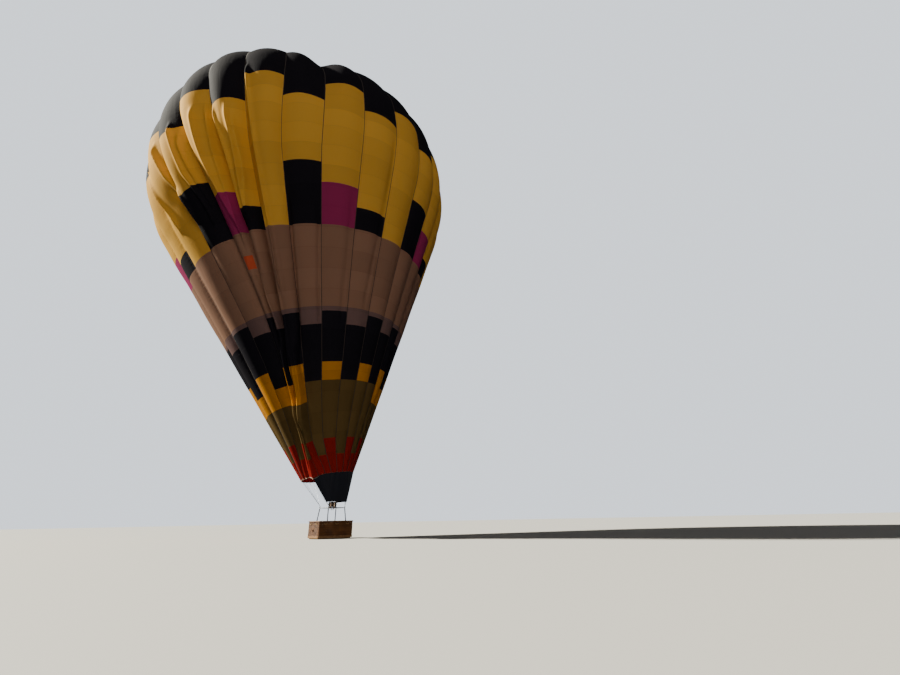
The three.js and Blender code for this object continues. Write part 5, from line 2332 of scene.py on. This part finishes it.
def joined(name: str, parts: Sequence[Item]) -> Item:
    """Mesh objects joined into one, with their attributes kept.

    Args:
        name: the name of the result.
        parts: the objects, the first of which takes in the others.

    Returns:
        The joined object.
    """
    for part in parts:
        part.parent = None
    with bpy.context.temp_override(active_object=parts[0], selected_editable_objects=list(parts)):
        bpy.ops.object.join()
    parts[0].name = name
    return parts[0]


@dataclass
class Cylinders:
    """Four fuel cylinders on the floor, each strapped round and with its valve in a collar."""

    ground: Points
    trees: Trees
    x: tuple[float, ...] = (-1.045, -0.728)
    y: float = 0.545
    bottom: float = 0.0807
    radius: float = 0.15
    foot: float = 0.122
    lower_end: float = 0.036
    lower_bend: float = 0.056
    upper_end: float = 0.832
    upper_bend: float = 0.09
    collar: float = 0.098
    collar_bottom: float = 0.80
    collar_top: float = 0.912
    collar_wall: float = 0.004
    valve_height: float = 0.858
    wheel: float = 0.032
    wheel_height: float = 0.892
    straps: tuple[float, ...] = (0.26, 0.6)

    def build(self) -> list[Item]:
        """One piece for each cylinder."""
        places = [(x, side * self.y) for x in self.x for side in (-1, 1)]
        return [self.build_one(number + 1, x, y) for number, (x, y) in enumerate(places)]

    def has_hole(self, row: int, column: int) -> bool:
        """Whether a part of the collar is one of its three hand holes."""
        return row == 2 and column % 16 < 7

    def build_one(self, number: int, x: float, y: float) -> Item:
        """Shell, foot ring, collar, valve, dial and straps.

        Args:
            number: the cylinder's number.
            x: where it stands along X.
            y: where it stands along Y.

        Returns:
            The piece.
        """
        piece = Piece(f"steel_cylinder_{number}", self.ground + [x, y, self.bottom])
        lower = [(self.radius * math.sin(a), self.lower_end + self.lower_bend * (1 - math.cos(a)))
                 for a in np.linspace(0.0, math.pi / 2, 9)[1:]]
        upper = [(self.radius * math.cos(a), self.upper_end - self.upper_bend * (1 - math.sin(a)))
                 for a in np.linspace(0.0, math.pi / 2, 10)[:-1]]
        weld = [(self.radius, 0.41), (self.radius + 0.0015, 0.4125), (self.radius + 0.0015, 0.4175),
                (self.radius, 0.42)]
        shell = [(0.0, self.lower_end), *lower, *weld, *upper, (0.0, self.upper_end)]
        piece.add(turned(shell, 64), STAINLESS)
        inside = self.foot - 0.003
        foot = [(inside, 0.0), (self.foot, 0.0), (self.foot, 0.05), (inside, 0.05), (inside, 0.0)]
        piece.add(turned(foot, 48), STAINLESS)
        heights = (self.collar_bottom, 0.846, 0.852, 0.885, self.collar_top - 0.006, self.collar_top)
        piece.add(pierced_wall(self.collar, self.collar_wall, heights, 48, self.has_hole), STAINLESS)
        body = [(0, 0.826), (0.022, 0.826), (0.022, 0.842), (0.015, 0.846), (0.015, 0.87), (0.019, 0.872),
                (0.019, 0.88), (0.008, 0.884), (0.008, 0.894), (0, 0.894)]
        piece.add(turned(body, 28), BRASS)
        outlet = [(0, 0), (0.011, 0), (0.011, 0.03), (0.015, 0.032), (0.015, 0.048), (0, 0.048)]
        piece.add(turned(outlet, 24), BRASS, (0, 0, self.valve_height), (1, 0, 0))
        piece.add(rod(0.011, 0, 0.03, 20), BRASS, (0, 0, self.valve_height), (0, 1, 0))
        gauge = [(0, 0), (0.018, 0), (0.02, 0.002), (0.02, 0.01), (0, 0.012)]
        piece.add(turned(gauge, 32), WHITE_ENAMEL, (0, 0.045, 0.846))
        wheel = circle(self.wheel, 30) + [0, 0, self.wheel_height]
        spokes = [np.array([[0, 0, self.wheel_height - 0.002], end]) for end in wheel[::6]]
        piece.grow(self.trees.bars, [wheel], RED_ENAMEL, closed=True, radius=0.0055, sides=8)
        piece.grow(self.trees.bars, spokes, RED_ENAMEL, radius=0.004, sides=6)
        strap, buckle = oval_section(0.003, 0.045, 8, 12), chamfered((0.06, 0.012, 0.052), 0.003)
        for height in self.straps:
            ring = circle(self.radius + 0.002, 64)
            piece.add(swept(ring, circle(1.0, 64), strap, True), STRAP_CLOTH, (0, 0, height))
            piece.add(buckle, STAINLESS, (0, math.copysign(self.radius + 0.007, -y), height))
        return piece.finish("airframe", "cylinder_steel", f"fuel_cylinder_{number}")


# Stage


@dataclass
class Stage:
    """The pale floor, the soft light and the camera at the photograph's place."""

    ground: Vector
    floor_radius: float = 700.0
    camera_from_ground: tuple[float, float, float] = (-15.75, -28.05, 0.98)
    heading: float = math.radians(46)
    pitch: float = math.radians(23.0)
    roll: float = math.radians(-1.1)
    lens: float = 17.2
    key_towards: tuple[float, float] = (math.radians(134), math.radians(37))
    key_energy: float = 17.0
    key_spread: float = 3.0
    key_colour: str = "fffbea"
    fill_towards: tuple[float, float] = (math.radians(236), math.radians(8))
    fill_energy: float = 1.25
    fill_spread: float = 40.0
    fill_colour: str = "fff4e6"
    surround: str = "dfe6ee"
    surround_light: float = 0.11
    surround_seen: float = 1.6

    def build_floor(self) -> None:
        """A wide pale disc under the basket."""
        disc = circle(self.floor_radius, 96) + np.array(self.ground)
        floor = mesh_object("floor_stage", disc, [list(range(len(disc)))], False)
        material = bpy.data.materials.new("pale_floor")
        material.use_nodes = True
        shader = material.node_tree.nodes["Principled BSDF"]
        shader.inputs["Base Color"].default_value = linear("a5a39f")
        shader.inputs["Roughness"].default_value = 0.9
        floor.data.materials.append(material)
        floor.visible_diffuse = False
        floor.visible_glossy = False

    def build_light(self, name: str, towards: tuple[float, float], energy: float, spread: float,
                    colour: str) -> None:
        """A distant lamp.

        Args:
            name: the lamp's name.
            towards: where it stands, as an angle round from +X and an angle above level.
            energy: its strength.
            spread: how wide it looks, in degrees, which is how soft its shadows are.
            colour: its colour as an sRGB code.
        """
        data = bpy.data.lights.new(name, "SUN")
        data.energy = energy
        data.angle = math.radians(spread)
        data.color = linear(colour)[:3]
        lamp = bpy.data.objects.new(name, data)
        bpy.context.scene.collection.objects.link(lamp)
        around, above = towards
        level = math.cos(above)
        direction = Vector((level * math.cos(around), level * math.sin(around), math.sin(above)))
        lamp.rotation_euler = direction.to_track_quat("Z", "Y").to_euler()

    def build_lights(self) -> None:
        """A key from the left, a weak fill from beside the camera, and a pale surround."""
        self.build_light("key", self.key_towards, self.key_energy, self.key_spread, self.key_colour)
        self.build_light("fill", self.fill_towards, self.fill_energy, self.fill_spread, self.fill_colour)
        world = bpy.data.worlds.new("surround")
        bpy.context.scene.world = world
        world.use_nodes = True
        tree = world.node_tree
        background = tree.nodes["Background"]
        background.inputs["Color"].default_value = linear(self.surround)
        seen = add_node(tree, "ShaderNodeLightPath").outputs["Is Camera Ray"]
        more = self.surround_seen - self.surround_light
        strength = add_node(
            tree, "ShaderNodeMath", [seen, more, self.surround_light], operation="MULTIPLY_ADD")
        tree.links.new(strength.outputs[0], background.inputs["Strength"])

    def build_camera(self) -> None:
        """A wide lens near the ground, tilted up, as the photograph was taken."""
        forward = Vector((math.cos(self.heading) * math.cos(self.pitch),
                          math.sin(self.heading) * math.cos(self.pitch), math.sin(self.pitch)))
        right = Vector((math.sin(self.heading), -math.cos(self.heading), 0))
        up = right.cross(forward)
        right, up = (math.cos(self.roll) * right + math.sin(self.roll) * up,
                     math.cos(self.roll) * up - math.sin(self.roll) * right)
        data = bpy.data.cameras.new("camera")
        data.lens = self.lens
        data.sensor_width = 36.0
        data.clip_end = 3000
        camera = bpy.data.objects.new("camera", data)
        bpy.context.scene.collection.objects.link(camera)
        turn = Matrix((right, up, -forward)).transposed().to_4x4()
        camera.matrix_world = Matrix.Translation(self.ground + Vector(self.camera_from_ground)) @ turn
        bpy.context.scene.camera = camera


def main() -> None:
    """Builds the stage and every sub-assembly."""
    logging.basicConfig(level=logging.INFO, format="%(message)s")
    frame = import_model()
    low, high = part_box("runners")
    ground = np.array([(low.x + high.x) / 2, (low.y + high.y) / 2, low.z])
    stage = Stage(Vector(ground))
    stage.build_camera()
    stage.build_lights()
    stage.build_floor()
    shape, trees = EnvelopeShape(), Trees()
    Envelope(shape).build()
    crown = Crown(shape, trees)
    crown.build_tapes()
    crown.build_ring()
    crown.build_valve()
    Mouth(shape, trees).build()
    rigging = Rigging(shape, trees, ground)
    rigging.build()
    Scoop(shape, rigging, trees).build()
    LoadFrame(ground, trees).build()
    burner = Burner(ground, trees)
    burner.build_ring()
    burner.build_block()
    burner.build_cans()
    Uprights(ground, trees).build()
    basket = Basket(ground, trees)
    basket.build_walls()
    basket.build_partition()
    basket.build_rim()
    basket.build_skirt()
    basket.build_handles()
    basket.build_runners()
    basket.dress_floor(frame["nodes"]["floor"])
    Cylinders(ground, trees).build()


if __name__ == "__main__":
    main()
